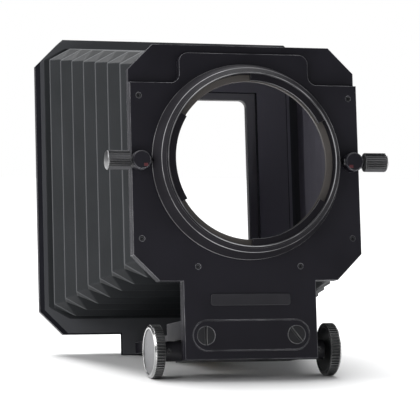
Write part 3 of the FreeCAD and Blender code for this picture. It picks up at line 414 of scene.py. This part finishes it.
# %% The turned ring, its sleeve and its seat
turned_rings = {
    "ring_black": {
        "colour": (0.02, 0.019, 0.0225),
        "worn_and_highlit": (0.38, 0.38, 0.39),
        "roughness": 0.5,
        "corner": 0.0002,
        "wear_and_highlight": 0.25,
        "lathe": {"Centre": optical_axis, "Across": ABOUT_Y, "Pitch": 0.00025},
        "gloss": 0.05,
        "edges": (RING_FOOT_EDGE, CONE_EDGE),
    },
    "sleeve_black": {
        "colour": (0.013, 0.0122, 0.015),
        "worn_and_highlit": (0.38, 0.38, 0.39),
        "roughness": 0.45,
        "corner": 0.0002,
        "wear_and_highlight": 0.5,
        "lathe": {"Centre": optical_axis, "Across": ABOUT_Y, "Pitch": 0.00025},
        "gloss": 0.05,
        "edges": (MOUTH_EDGE, LUG_EDGE),
    },
    "seat_worn": {
        "colour": (0.085, 0.077, 0.072),
        "worn_and_highlit": (0.3, 0.28, 0.26),
        "roughness": 0.45,
        "corner": 0.0002,
        "wear_and_highlight": 0.4,
        "lathe": {"Centre": optical_axis, "Across": ABOUT_Y, "Pitch": 0.0002},
        "gloss": 0.3,
    },
}
add_metals(turned_rings)

# %% Focusing knobs and thumb screws
knob_metals = {
    "knob_black": {
        "colour": (0.017, 0.018, 0.019),
        "worn_and_highlit": (0.65, 0.65, 0.65),
        "roughness": 0.37,
        "metallic": 0.3,
        "corner": 0.0003,
        "wear_and_highlight": 0.9,
    },
    "knob_satin": {
        "colour": (0.3, 0.3, 0.31),
        "worn_and_highlit": (0.6, 0.6, 0.6),
        "roughness": 0.45,
        "metallic": 1.0,
        "lathe": {"Centre": axle_line, "Across": ABOUT_X, "Pitch": 0.0002},
        "bump": 0.25,
    },
    "knob_rim": {
        "colour": (0.42, 0.42, 0.42),
        "worn_and_highlit": (0.95, 0.95, 0.95),
        "roughness": 0.22,
        "metallic": 1.0,
        "corner": 0.0002,
        "wear_and_highlight": 0.8,
    },
    "thumb_knurl": {
        "colour": (0.075, 0.075, 0.079),
        "worn_and_highlit": (0.5, 0.5, 0.5),
        "roughness": 0.34,
        "metallic": 1.0,
        "corner": 0.0001,
        "wear_and_highlight": 0.6,
    },
    "thumb_cap": {
        "colour": (0.22, 0.22, 0.225),
        "worn_and_highlit": (0.7, 0.7, 0.7),
        "roughness": 0.32,
        "metallic": 1.0,
        "corner": 0.0002,
        "wear_and_highlight": 0.8,
    },
}
add_metals(knob_metals)

# %% Small steel, brass and painted parts
small_metals = {
    "bright_steel": {
        "colour": (0.08, 0.08, 0.084),
        "worn_and_highlit": (0.7, 0.7, 0.7),
        "roughness": 0.3,
        "metallic": 1.0,
        "corner": 0.0002,
        "wear_and_highlight": 0.8,
    },
    "rack_brass": {
        "colour": (0.6, 0.43, 0.18),
        "worn_and_highlit": (0.8, 0.62, 0.3),
        "roughness": 0.35,
        "metallic": 1.0,
        "corner": 0.0001,
        "wear_and_highlight": 0.5,
    },
    "dark_screw": {
        "colour": (0.012, 0.012, 0.015),
        "worn_and_highlit": (0.22, 0.22, 0.23),
        "roughness": 0.4,
        "metallic": 0.4,
        "corner": 0.0002,
        "wear_and_highlight": 0.7,
    },
    # Worn slotted screws, whose bright rims are partly wear and partly a painted highlight.
    "screw_worn_and_highlit": {
        "colour": (0.024, 0.024, 0.027),
        "worn_and_highlit": (0.5, 0.5, 0.5),
        "roughness": 0.4,
        "metallic": 0.4,
        "corner": 0.0003,
        "wear_and_highlight": 0.9,
    },
    "index_red": {
        "colour": (0.09, 0.017, 0.022),
        "worn_and_highlit": (0.2, 0.06, 0.06),
        "roughness": 0.4,
        "corner": 0.0001,
        "wear_and_highlight": 0.2,
    },
}
add_metals(small_metals)

# %% Pieces with a finish of their own
own_finish = {
    "bayonet_sleeve": "sleeve_black",
    "front_frame": "frame_black",
    "filter_frame": "frame_black",
    "front_plate": "window_black",
    "bellows_front_clamp": "frame_black",
    "bellows_rear_clamp": "frame_black",
    "end_plate_screws": "screw_worn_and_highlit",
    "focus_axle": "screw_worn_and_highlit",
    "name_plate": "name_black",
    "shaft_bush_left": "name_black",
    "shaft_bush_right": "name_black",
}
print("pieces with their own finish:", len(own_finish))


# %% [markdown]
# ## Bellows cloth
# The bellows is thin coated cloth over stiff panels. Its flat panels show a fine weave, and the folds look
# lighter: the coating has rubbed off there, and the lighter colour is also a painted highlight. The
# underside lies in shade, so its folds keep the dark colour as painted shade. The inside is a much lighter
# copy of the cloth, as painted light. The weave could be a picture, but a picture needs a good unwrap.
# Crossed waves on the object's own coordinates give the weave at its true size.


# %% The cloth finish
def make_cloth(name, dark, light, worn_and_highlit_colour, gloss):
    """Coated cloth, mottled from dark to light. Its folds are lighter where the skin's crest attribute is
    near 1, partly rubbed and partly a painted highlight; folds on faces that turn down stay dark as painted
    shade.
    """
    material = bpy.data.materials.new(name)
    material.use_nodes = True
    build = Tree(material.node_tree)
    shader = material.node_tree.nodes["Principled BSDF"]
    folds = place_group(build, corner_group, {"Radius": 0.0007, "Wear And Highlight": 0.9})
    grains = place_group(build, grain_group, {"Grain": 900.0})
    place = build.add("ShaderNodeTexCoord").outputs["Object"]
    axes = build.add("ShaderNodeSeparateXYZ", {0: place})
    thread = 2.0 * math.pi / (0.6 * MM)
    waves = [build.math("SINE", build.math("MULTIPLY", axes.outputs[axis], thread)) for axis in "XYZ"]
    weave = build.math("ADD", build.math("ADD", waves[0], waves[1]), waves[2])
    base = build.blend(grains.outputs["Tone"], dark, light)
    crest = build.add("ShaderNodeAttribute", attribute_name="crest").outputs["Fac"]
    wear_and_highlight_share = build.math("MAXIMUM", build.remap(crest, 0.9, 0.97, 0.0, 0.9), folds.outputs["Mask"])
    normal = build.add("ShaderNodeNewGeometry").outputs["True Normal"]
    outwards = build.add("ShaderNodeSeparateXYZ", {0: normal}).outputs
    # Painted shade: folds on faces that turn down keep the dark colour, unless they face sideways.
    beside = build.remap(build.math("ABSOLUTE", outwards["X"]), 0.1, 0.3)
    not_in_underside_shade = build.math("MAXIMUM", build.remap(outwards["Z"], -0.75, -0.4), beside)
    worn_and_highlit = build.blend(build.math("MULTIPLY", wear_and_highlight_share, not_in_underside_shade), base, worn_and_highlit_colour)
    build.feed(shader.inputs["Base Color"], worn_and_highlit)
    build.feed(shader.inputs["Roughness"], build.remap(grains.outputs["Tone"], 0.0, 1.0, 0.5, 0.62))
    shader.inputs["Specular IOR Level"].default_value = gloss
    height = build.math("MULTIPLY_ADD", weave, 0.25, grains.outputs["Height"])
    relief = build.add(
        "ShaderNodeBump",
        {"Strength": 0.25, "Distance": 0.00006, "Height": height, "Normal": folds.outputs["Normal"]},
    )
    build.feed(shader.inputs["Normal"], relief.outputs[0])
    return material


finish["bellows_cloth"] = make_cloth(
    "bellows_cloth",
    dark=(0.015, 0.0165, 0.018, 1.0),
    light=(0.021, 0.0225, 0.0245, 1.0),
    worn_and_highlit_colour=(0.085, 0.088, 0.093, 1.0),
    gloss=0.1,
)
# The inside of the bellows is a much lighter copy of the cloth: painted light that fills the hood.
finish["bellows_inside_painted_light"] = make_cloth(
    "bellows_inside_painted_light",
    dark=(0.16, 0.155, 0.185, 1.0),
    light=(0.2, 0.193, 0.228, 1.0),
    worn_and_highlit_colour=(0.21, 0.203, 0.238, 1.0),
    gloss=0.02,
)
print("cloth finishes made, finishes in all:", len(finish))

# %% [markdown]
# ## Finishes on the CAD pieces
# The CAD pieces already have the right shape, so they stay, and only their material changes. The packed
# record says which slot each piece takes, so one loop dresses them all, by their own finish or their slot's.

# %% Dress the CAD pieces
slot_of = {part["node"]: part["material_slot"] for part in frame["record"]["subparts"]}
for name, piece in frame["nodes"].items():
    piece.data.materials.clear()
    piece.data.materials.append(finish[own_finish.get(name, slot_of[name])])
print("dressed:", len(slot_of))


# %% [markdown]
# ## Running a Geometry Nodes tree
# A Geometry Nodes tree works on an object through a modifier. Its inputs are set by their identifiers
# before anything is evaluated. The result is then copied out as a plain mesh, because the pieces that
# move with the model have to be ordinary meshes at the origin.


# %% Turn a tree into a plain mesh
def grow(name, build, values):
    """Runs a tree on a new, empty object with the given inputs, and keeps the mesh that it makes."""
    piece = bpy.data.objects.new(name, bpy.data.meshes.new(f"{name}_start"))
    bpy.context.collection.objects.link(piece)
    maker = piece.modifiers.new("maker", "NODES")
    maker.node_group = build.tree
    for item in build.tree.interface.items_tree:
        if item.in_out == "INPUT" and item.name in values:
            maker[item.identifier] = values[item.name]
    bpy.context.view_layer.update()
    evaluated = piece.evaluated_get(bpy.context.evaluated_depsgraph_get())
    mesh = bpy.data.meshes.new_from_object(evaluated)
    piece.modifiers.remove(maker)
    piece.data = mesh
    mesh.name = name
    return piece


def attach(piece, body, slot, *nodes):
    """Puts a piece on the body that it rides on, and hides the CAD nodes that it stands for. slot is not
    used.
    """
    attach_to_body(piece, body)
    if nodes:
        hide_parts(*nodes)
    print(piece.name, "faces:", len(piece.data.polygons))


# %% [markdown]
# ## The bellows
# Each fold of the bellows is a rectangle. A ridge has its corners cut off, and the valley beside it is
# a little smaller with sharp corners, so a triangle folds in at every corner. This is a shape with a
# rule, which suits Geometry Nodes: a grid has one column for each of the eight corners and one row for
# each fold, and its points are moved to where the rule puts them. Where a valley's two corners meet, the
# points are merged. Drawing each fold by hand would work too, but it would be hard to change.
#
# The tree makes a skin without thickness. Real folds are stiff card under cloth, so Solidify gives the
# skin a thin wall and Bevel rounds its folds a little.


# %% The bellows as a tree
def make_bellows_tree():
    sizes = {
        "Rows": (COUNT, 16),
        "Start": (FLOAT, 0.0059),
        "First Ridge": (FLOAT, 0.0165),
        "Pitch": (FLOAT, 0.0146),
        "End": (FLOAT, 0.1119),
        "Near Half Width": (FLOAT, 0.0498),
        "Far Half Width": (FLOAT, 0.0645),
        "Near Top": (FLOAT, 0.0482),
        "Far Top": (FLOAT, 0.069),
        "Near Bottom": (FLOAT, 0.047),
        "Far Bottom": (FLOAT, 0.0599),
        "Side Fold": (FLOAT, 0.003),
        "End Fold": (FLOAT, 0.0053),
        "Cut Width": (FLOAT, 0.0102),
        "Cut Height": (FLOAT, 0.0058),
        "Finish": (MATERIAL, None),
    }
    build, start, end = new_group("folding_bellows", "GeometryNodeTree", sizes, {"Geometry": GEOMETRY})
    given = start.outputs
    corner_count = 8.0
    columns = corner_count + 1.0
    grid = build.add("GeometryNodeMeshGrid", {"Vertices X": given["Rows"], "Vertices Y": int(columns)})
    index = build.add("GeometryNodeInputIndex").outputs[0]
    row = build.math("FLOOR", build.math("DIVIDE", build.math("ADD", index, 0.5), columns))
    corner = build.math("SUBTRACT", index, build.math("MULTIPLY", row, columns))
    corner = build.math("MODULO", corner, corner_count)
    ridge = build.math("MODULO", row, 2.0)

    last = build.math("SUBTRACT", given["Rows"], 1.5)
    half_pitch = build.math("MULTIPLY", given["Pitch"], 0.5)
    steps = build.math("MULTIPLY", build.math("SUBTRACT", row, 1.0), half_pitch)
    along = build.math("ADD", given["First Ridge"], steps)
    along = build.math("MAXIMUM", along, given["Start"])
    first_row = build.math("LESS_THAN", row, 0.5)
    last_row = build.math("GREATER_THAN", row, last)
    middle = build.math("SUBTRACT", 1.0, build.math("ADD", first_row, last_row))
    along = build.math("MULTIPLY", along, middle)
    along = build.math("MULTIPLY_ADD", first_row, given["Start"], along)
    along = build.math("MULTIPLY_ADD", last_row, given["End"], along)

    length = build.math("SUBTRACT", given["End"], given["Start"])
    share = build.math("DIVIDE", build.math("SUBTRACT", along, given["Start"]), length)
    valley = build.math("SUBTRACT", 1.0, ridge)

    def widening(near, far, fold):
        change = build.math("SUBTRACT", given[far], given[near])
        outer = build.math("MULTIPLY_ADD", share, change, given[near])
        return build.math("SUBTRACT", outer, build.math("MULTIPLY", valley, given[fold]))

    half = widening("Near Half Width", "Far Half Width", "Side Fold")
    top = widening("Near Top", "Far Top", "End Fold")
    bottom = widening("Near Bottom", "Far Bottom", "End Fold")

    def is_one_of(*numbers):
        total = 0.0
        for number in numbers:
            total = build.math("ADD", build.math("COMPARE", corner, float(number), 0.3), total)
        return total

    left = is_one_of(3, 4, 5, 6)
    upper = is_one_of(1, 2, 3, 4)
    beside = is_one_of(2, 3, 6, 7)
    over = build.math("SUBTRACT", 1.0, beside)
    cut_x = build.math("MULTIPLY", build.math("MULTIPLY", beside, ridge), given["Cut Width"])
    cut_z = build.math("MULTIPLY", build.math("MULTIPLY", over, ridge), given["Cut Height"])
    sign_x = build.math("MULTIPLY_ADD", left, -2.0, 1.0)
    x = build.math("MULTIPLY", build.math("SUBTRACT", half, cut_x), sign_x)
    high = build.math("MULTIPLY", build.math("SUBTRACT", top, cut_z), upper)
    lower = build.math("SUBTRACT", 1.0, upper)
    low = build.math("MULTIPLY", build.math("SUBTRACT", bottom, cut_z), lower)
    z = build.math("SUBTRACT", high, low)
    place = build.add("ShaderNodeCombineXYZ", {"X": x, "Y": along, "Z": z}).outputs[0]
    crest = build.math("MULTIPLY", ridge, middle)
    marked = build.add("GeometryNodeStoreNamedAttribute", data_type="FLOAT", domain="POINT")
    build.feed(marked.inputs["Geometry"], grid.outputs["Mesh"])
    build.feed(marked.inputs["Name"], "crest")
    build.feed(marked.inputs["Value"], crest)
    moved = build.add("GeometryNodeSetPosition", {"Geometry": marked.outputs[0], "Position": place})
    merged = build.add("GeometryNodeMergeByDistance", {"Geometry": moved.outputs[0], "Distance": 0.00002})
    real = build.add("GeometryNodeRealizeInstances", {"Geometry": merged.outputs[0]})
    result = {"Geometry": real.outputs[0], "Material": given["Finish"]}
    dressed = build.add("GeometryNodeSetMaterial", result)
    build.feed(end.inputs["Geometry"], dressed.outputs[0])
    return build


bellows_tree = make_bellows_tree()
print("bellows tree nodes:", len(bellows_tree.tree.nodes))

# %% Make the skin, give it a wall and soften its folds
plate_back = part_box("back_plate")[1][1]
frame_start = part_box("front_frame")[0][1]
END_GAP = 0.05 * MM
FIRST_RIDGE = 10.6 * MM
SKIN = 0.8 * MM
FOLD_SOFTNESS = 0.35 * MM
bellows = grow(
    "bellows_skin",
    bellows_tree,
    {
        "Start": plate_back + END_GAP,
        "First Ridge": plate_back + FIRST_RIDGE,
        "End": frame_start - END_GAP,
        "Finish": finish["bellows_cloth"],
    },
)


def face_outwards(mesh):
    """Turns an open skin's faces to one side, the side that looks away from the optical axis."""
    work = bmesh.new()
    work.from_mesh(mesh)
    bmesh.ops.recalc_face_normals(work, faces=work.faces)
    work.to_mesh(mesh)
    work.free()
    score = 0.0
    for face in mesh.polygons:
        score += face.normal.x * face.center.x + face.normal.z * face.center.z
    if score < 0.0:
        mesh.flip_normals()


def settle(piece):
    """Copies out what the modifiers make, and removes them."""
    bpy.context.view_layer.update()
    evaluated = piece.evaluated_get(bpy.context.evaluated_depsgraph_get())
    mesh = bpy.data.meshes.new_from_object(evaluated)
    piece.modifiers.clear()
    piece.data = mesh


face_outwards(bellows.data)
# The inner wall and the rim take the lighter inside cloth, which is painted light.
bellows.data.materials.append(finish["bellows_inside_painted_light"])
wall = bellows.modifiers.new("wall", "SOLIDIFY")
wall.material_offset = 1
wall.material_offset_rim = 1
wall.thickness = SKIN
wall.offset = -1.0
softened = bellows.modifiers.new("folds", "BEVEL")
softened.width = FOLD_SOFTNESS
softened.segments = 2
softened.limit_method = "ANGLE"
softened.angle_limit = math.radians(20.0)
settle(bellows)
attach(bellows, "lens_standard", "bellows_cloth", "bellows")
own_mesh(bellows)

# %% [markdown]
# ## Knurled rims
# Fingers grip the focusing knobs and the thumb screws by straight knurling: V-shaped ridges along the axis.
# A bump map would look right from the front but not at the outline, where the teeth show. So each ridge
# is a small square bar turned on its corner, and Geometry Nodes sets one at every point of a circle.


# %% The knurling as a tree
def make_knurl_tree():
    sizes = {
        "Count": (COUNT, 56),
        "Radius": (FLOAT, 0.0115),
        "Bar": (FLOAT, 0.0008),
        "Length": (FLOAT, 0.004),
        "Centre": (VECTOR, None),
        "Finish": (MATERIAL, None),
    }
    build, start, end = new_group("straight_knurl", "GeometryNodeTree", sizes, {"Geometry": GEOMETRY})
    given = start.outputs
    sunk = build.math("MULTIPLY_ADD", given["Bar"], -math.sqrt(0.5), given["Radius"])
    circle = build.add("GeometryNodeMeshCircle", {"Vertices": given["Count"], "Radius": sunk})
    size = build.add("ShaderNodeCombineXYZ", {"X": given["Bar"], "Y": given["Bar"], "Z": given["Length"]})
    bar = build.add("GeometryNodeMeshCube", {"Size": size.outputs[0]})
    eighth_turn = (0.0, 0.0, math.radians(45.0))
    on_corner = build.add(
        "GeometryNodeTransform", {"Geometry": bar.outputs["Mesh"], "Rotation": eighth_turn}
    )
    place = build.add("GeometryNodeInputPosition").outputs[0]
    facing = build.add("FunctionNodeAlignRotationToVector", {"Vector": place}, axis="X")
    bars = build.add(
        "GeometryNodeInstanceOnPoints",
        {"Points": circle.outputs[0], "Instance": on_corner.outputs[0], "Rotation": facing.outputs[0]},
    )
    laid = build.add(
        "GeometryNodeTransform",
        {
            "Geometry": bars.outputs[0],
            "Translation": given["Centre"],
            "Rotation": (0.0, math.radians(90.0), 0.0),
        },
    )
    real = build.add("GeometryNodeRealizeInstances", {"Geometry": laid.outputs[0]})
    result = {"Geometry": real.outputs[0], "Material": given["Finish"]}
    dressed = build.add("GeometryNodeSetMaterial", result)
    build.feed(end.inputs["Geometry"], dressed.outputs[0])
    return build


knurl_tree = make_knurl_tree()
print("knurl tree nodes:", len(knurl_tree.tree.nodes))


# %% [markdown]
# ## Turned bodies
# A knob without its knurling is a turned piece: a profile spun about its axis. The Spin tool would do it
# in the interface. In a script it is as short to lay the rings of points out directly. A solid body ends
# in one point at each pole, and a hollow rim ends where it began, so both are closed.


# %% Spin a profile about a line along X
def shade_by_angle(piece, degrees):
    """Smooth shading, with the edges sharper than an angle kept crisp."""
    for polygon in piece.data.polygons:
        polygon.use_smooth = True
    work = bmesh.new()
    work.from_mesh(piece.data)
    for edge in work.edges:
        if len(edge.link_faces) == 2:
            edge.smooth = edge.calc_face_angle(0.0) < math.radians(degrees)
    work.to_mesh(piece.data)
    work.free()


def turn_about_x(name, profile, centre, sides, material):
    """Turns a profile of (x, radius), which runs from pole to pole or comes back to its first point."""
    work = bmesh.new()
    rings = []
    for x, radius in profile:
        points = [(x, centre.y, centre.z)]
        if radius > 0.0:
            angles = [2.0 * math.pi * number / sides for number in range(sides)]
            turned = [(radius * math.cos(angle), radius * math.sin(angle)) for angle in angles]
            points = [(x, centre.y + across, centre.z + up) for across, up in turned]
        rings.append([work.verts.new(point) for point in points])
    for first, second in zip(rings, rings[1:]):
        for number in range(sides):
            following = (number + 1) % sides
            corners = [first[number % len(first)], first[following % len(first)]]
            corners += [second[following % len(second)], second[number % len(second)]]
            loop = list(dict.fromkeys(corners))
            if len(loop) > 2:
                work.faces.new(loop)
    bmesh.ops.remove_doubles(work, verts=work.verts, dist=0.001 * MM)
    bmesh.ops.recalc_face_normals(work, faces=work.faces)
    mesh = bpy.data.meshes.new(name)
    work.to_mesh(mesh)
    work.free()
    mesh.materials.append(material)
    piece = bpy.data.objects.new(name, mesh)
    bpy.context.collection.objects.link(piece)
    shade_by_angle(piece, 35.0)
    return piece


print("turning helper ready")

# %% [markdown]
# ## Focusing knobs and thumb screws
# A focusing knob is a black turned core with a polished, bevelled rim round a satin disc, and the ends of
# its teeth are polished too. One mesh with two finishes could show this, but separate pieces keep a clean
# line between them. A thumb screw is the same at a smaller size, with a polished domed cap.


# %% Knurling round a body
BAR_DEPTH = 0.75


def knurl(name, body, slot, material, teeth, bar, radius, length, centre):
    """Sets teeth round a line along X. BAR_DEPTH is how much of a bar's side stands out of the core."""
    values = {
        "Count": teeth,
        "Radius": radius,
        "Bar": bar,
        "Length": length,
        "Centre": centre,
        "Finish": material,
    }
    attach(grow(name, knurl_tree, values), body, slot)


print("teeth stand out by this share of a bar:", BAR_DEPTH)

# %% The focusing knobs: a turned core, a polished rim and the knurling
KNOB_SIDES = 112
KNOB_TEETH = 56
KNOB_BAR = 0.86 * MM
RIM = 0.9 * MM
HUB = 3.2 * MM
HUB_HEIGHT = 0.05 * MM
RECESS = 0.35 * MM
CHAMFER = 0.3 * MM
BRIGHT_TEETH = 0.5 * MM

for word, side in (("left", -1.0), ("right", 1.0)):
    low, high = (Vector(corner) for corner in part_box(f"focus_knob_{word}"))
    inner, outer = sorted((low.x, high.x), key=abs)
    radius = (high.z - low.z) / 2
    centre = (low + high) / 2
    disc_low, disc_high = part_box(f"knob_disc_{word}")
    disc_face = max((disc_low[0], disc_high[0]), key=abs)
    disc_radius = (disc_high[2] - disc_low[2]) / 2
    width = abs(outer - inner)
    root = radius - KNOB_BAR * BAR_DEPTH
    seat = disc_face - side * 0.4 * MM
    core = [
        (inner - side * HUB_HEIGHT, 0.0),
        (inner - side * HUB_HEIGHT, HUB),
        (inner + side * RECESS, HUB + 0.4 * MM),
        (inner + side * RECESS, root - 1.4 * MM),
        (inner, root - 1.0 * MM),
        (inner, root - CHAMFER),
        (inner + side * CHAMFER, root),
        (outer - side * RIM, root),
        (outer - side * RIM, 0.0),
    ]
    knob = turn_about_x(f"focus_knob_core_{word}", core, centre, KNOB_SIDES, finish["knob_black"])
    attach(knob, "focus_shaft", "knob_black", f"focus_knob_{word}")
    rim_profile = [
        (outer - side * RIM, radius - 1.1 * RIM),
        (outer - side * RIM, radius - 0.15 * MM),
        (outer - side * (RIM - 0.15 * MM), radius - 0.1 * MM),
        (outer - side * 0.12 * MM, radius - RIM),
        (outer, radius - RIM - 0.12 * MM),
        (outer, disc_radius + 0.1 * MM),
        (outer - side * 0.1 * MM, disc_radius),
        (seat, disc_radius),
        (seat, radius - 1.6 * RIM),
        (outer - side * RIM, radius - 1.6 * RIM),
        (outer - side * RIM, radius - 1.1 * RIM),
    ]
    rim = turn_about_x(f"focus_knob_rim_{word}", rim_profile, centre, KNOB_SIDES, finish["knob_rim"])
    attach(rim, "focus_shaft", "knob_satin")
    knurl(
        f"focus_knob_knurl_{word}",
        "focus_shaft",
        "knob_black",
        finish["knob_black"],
        KNOB_TEETH,
        KNOB_BAR,
        radius,
        width - RIM - 0.35 * MM,
        (inner + side * (width - RIM + 0.2 * MM) / 2, centre.y, centre.z),
    )
    knurl(
        f"focus_knob_bright_teeth_{word}",
        "focus_shaft",
        "knob_satin",
        finish["knob_rim"],
        KNOB_TEETH,
        KNOB_BAR,
        radius - 0.06 * MM,
        BRIGHT_TEETH,
        (outer - side * (RIM - 0.12 * MM), centre.y, centre.z),
    )

# %% The thumb screws' heads
THUMB_SIDES = 78
THUMB_TEETH = 26
THUMB_BAR = 0.72 * MM
CAP = 1.0 * MM

for word, side in (("left", -1.0), ("right", 1.0)):
    low, high = (Vector(corner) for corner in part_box(f"thumb_knob_{word}"))
    inner, outer = sorted((low.x, high.x), key=abs)
    radius = (high.z - low.z) / 2
    centre = (low + high) / 2
    width = abs(outer - inner)
    root = radius - THUMB_BAR * BAR_DEPTH
    core = [
        (inner, 0.0),
        (inner, root - 0.7 * MM),
        (inner + side * 0.5 * MM, root),
        (outer - side * CAP, root),
        (outer - side * CAP, radius - 0.15 * MM),
        (outer - side * 0.7 * CAP, radius - 0.05 * MM),
        (outer - side * 0.25 * CAP, radius - 0.6 * MM),
        (outer - side * 0.05 * CAP, radius - 1.5 * MM),
        (outer, 0.0),
    ]
    head = turn_about_x(f"thumb_head_{word}", core, centre, THUMB_SIDES, finish["thumb_cap"])
    attach(head, f"head_{word}", "knob_black", f"thumb_knob_{word}")
    knurl(
        f"thumb_knurl_{word}",
        f"head_{word}",
        "knob_black",
        finish["thumb_knurl"],
        THUMB_TEETH,
        THUMB_BAR,
        radius,
        width - CAP - 0.5 * MM,
        (inner + side * (width - CAP + 0.5 * MM) / 2, centre.y, centre.z),
    )

# %% [markdown]
# ## Floor, light and camera
# In the picture the hood stands on its focusing knobs and on the foot of its front frame, so it leans
# back. The model keeps its plates upright, and the floor is tilted to touch the same three places. The
# light is soft and comes mostly from the left and from above, so the black plates stay black and only
# their edges shine. A weak light from the front left reaches through the ring and shows the hood's inside.
# The camera's place and angles were worked out from the plates' corners in the picture.

# %% A floor that touches the knobs and the front foot
foot_edge = Vector((0.0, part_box("front_frame")[1][1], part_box("front_frame")[0][2]))
knob_low, knob_high = (Vector(corner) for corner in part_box("focus_knob_left"))
knob_centre = (knob_low + knob_high) / 2
knob_radius = (knob_high.z - knob_low.z) / 2
to_foot = foot_edge - knob_centre
reach = math.hypot(to_foot.y, to_foot.z)
floor_tilt = math.atan2(to_foot.z, to_foot.y) + math.asin(knob_radius / reach)
FLOOR_HALF = 4.0
along_floor = Vector((0.0, math.cos(floor_tilt), math.sin(floor_tilt)))
corners = [
    foot_edge + Vector((x * FLOOR_HALF, 0.0, 0.0)) + along_floor * (y * FLOOR_HALF)
    for x, y in ((-1, -1), (1, -1), (1, 1), (-1, 1))
]
floor_mesh = bpy.data.meshes.new("floor")
floor_mesh.from_pydata([tuple(corner) for corner in corners], [], [(0, 1, 2, 3)])
floor = bpy.data.objects.new("floor", floor_mesh)
bpy.context.collection.objects.link(floor)
floor_finish = bpy.data.materials.new("pale_floor")
floor_finish.use_nodes = True
floor_shader = floor_finish.node_tree.nodes["Principled BSDF"]
floor_shader.inputs["Base Color"].default_value = (0.93, 0.93, 0.93, 1.0)
floor_shader.inputs["Roughness"].default_value = 0.6
floor_mesh.materials.append(floor_finish)
print("floor tilt in degrees:", round(math.degrees(floor_tilt), 2))


# %% Soft lights
def soft_light(name, place, target, size, power):
    """A square area light that faces a point."""
    data = bpy.data.lights.new(name, "AREA")
    data.size = size
    data.energy = power
    lamp = bpy.data.objects.new(name, data)
    lamp.location = place
    lamp.rotation_euler = (Vector(target) - Vector(place)).to_track_quat("-Z", "Y").to_euler()
    bpy.context.collection.objects.link(lamp)


soft_light("left_light", (-1.0, 0.05, 0.45), (0.0, 0.05, 0.0), 0.5, 5.0)
soft_light("top_light", (-0.2, 0.2, 1.1), (0.0, 0.05, 0.0), 0.7, 5.0)
soft_light("right_light", (0.9, 0.6, 0.3), (0.0, 0.0, -0.02), 0.4, 2.0)
soft_light("front_light", (-0.85, -0.85, 0.3), (0.0, 0.06, 0.0), 0.6, 5.0)


def wide_light(name, source, strength, softness):
    """A soft, distant light that reaches the whole floor evenly."""
    data = bpy.data.lights.new(name, "SUN")
    data.energy = strength
    data.angle = math.radians(softness)
    lamp = bpy.data.objects.new(name, data)
    lamp.rotation_euler = Vector(source).to_track_quat("Z", "Y").to_euler()
    bpy.context.collection.objects.link(lamp)


wide_light("sky_light", (0.0, 0.3, 1.0), 4.1, 60.0)

world = bpy.data.worlds.new("studio")
bpy.context.scene.world = world
world.use_nodes = True
sky = Tree(world.node_tree)
dim = world.node_tree.nodes["Background"]
dim.inputs["Color"].default_value = (0.95, 0.97, 1.0, 1.0)
dim.inputs["Strength"].default_value = 0.19
white = sky.add("ShaderNodeBackground", {"Color": (1.0, 1.0, 1.0, 1.0), "Strength": 1.0})
seen = sky.add("ShaderNodeLightPath").outputs["Is Camera Ray"]
mixed = sky.add("ShaderNodeMixShader", {0: seen, 1: dim.outputs[0], 2: white.outputs[0]})
sky.feed(world.node_tree.nodes["World Output"].inputs["Surface"], mixed.outputs[0])
bpy.context.scene.view_settings.view_transform = "Standard"

# %% The camera, at the photograph's angle
CAMERA_PLACE = Vector((-277.275, -887.203, -122.513)) * MM
CAMERA_YAW = math.radians(16.186)
CAMERA_PITCH = math.radians(6.217)
CAMERA_ROLL = math.radians(-1.593)
FOCAL_LENGTH = 188.57
SENSOR = 36.0
forward = Vector(
    (
        math.sin(CAMERA_YAW) * math.cos(CAMERA_PITCH),
        math.cos(CAMERA_YAW) * math.cos(CAMERA_PITCH),
        math.sin(CAMERA_PITCH),
    )
)
level_right = Vector((math.cos(CAMERA_YAW), -math.sin(CAMERA_YAW), 0.0))
level_up = level_right.cross(forward)
right = level_right * math.cos(CAMERA_ROLL) + level_up * math.sin(CAMERA_ROLL)
up = level_up * math.cos(CAMERA_ROLL) - level_right * math.sin(CAMERA_ROLL)
camera_data = bpy.data.cameras.new("camera")
camera_data.lens = FOCAL_LENGTH
camera_data.sensor_width = SENSOR
camera_data.sensor_fit = "HORIZONTAL"
camera_data.dof.use_dof = False
camera = bpy.data.objects.new("camera", camera_data)
bpy.context.collection.objects.link(camera)
turned = Matrix((right, up, -forward)).transposed().to_4x4()
camera.matrix_world = Matrix.Translation(CAMERA_PLACE) @ turned
bpy.context.scene.camera = camera
print("camera place:", [round(number, 3) for number in CAMERA_PLACE])
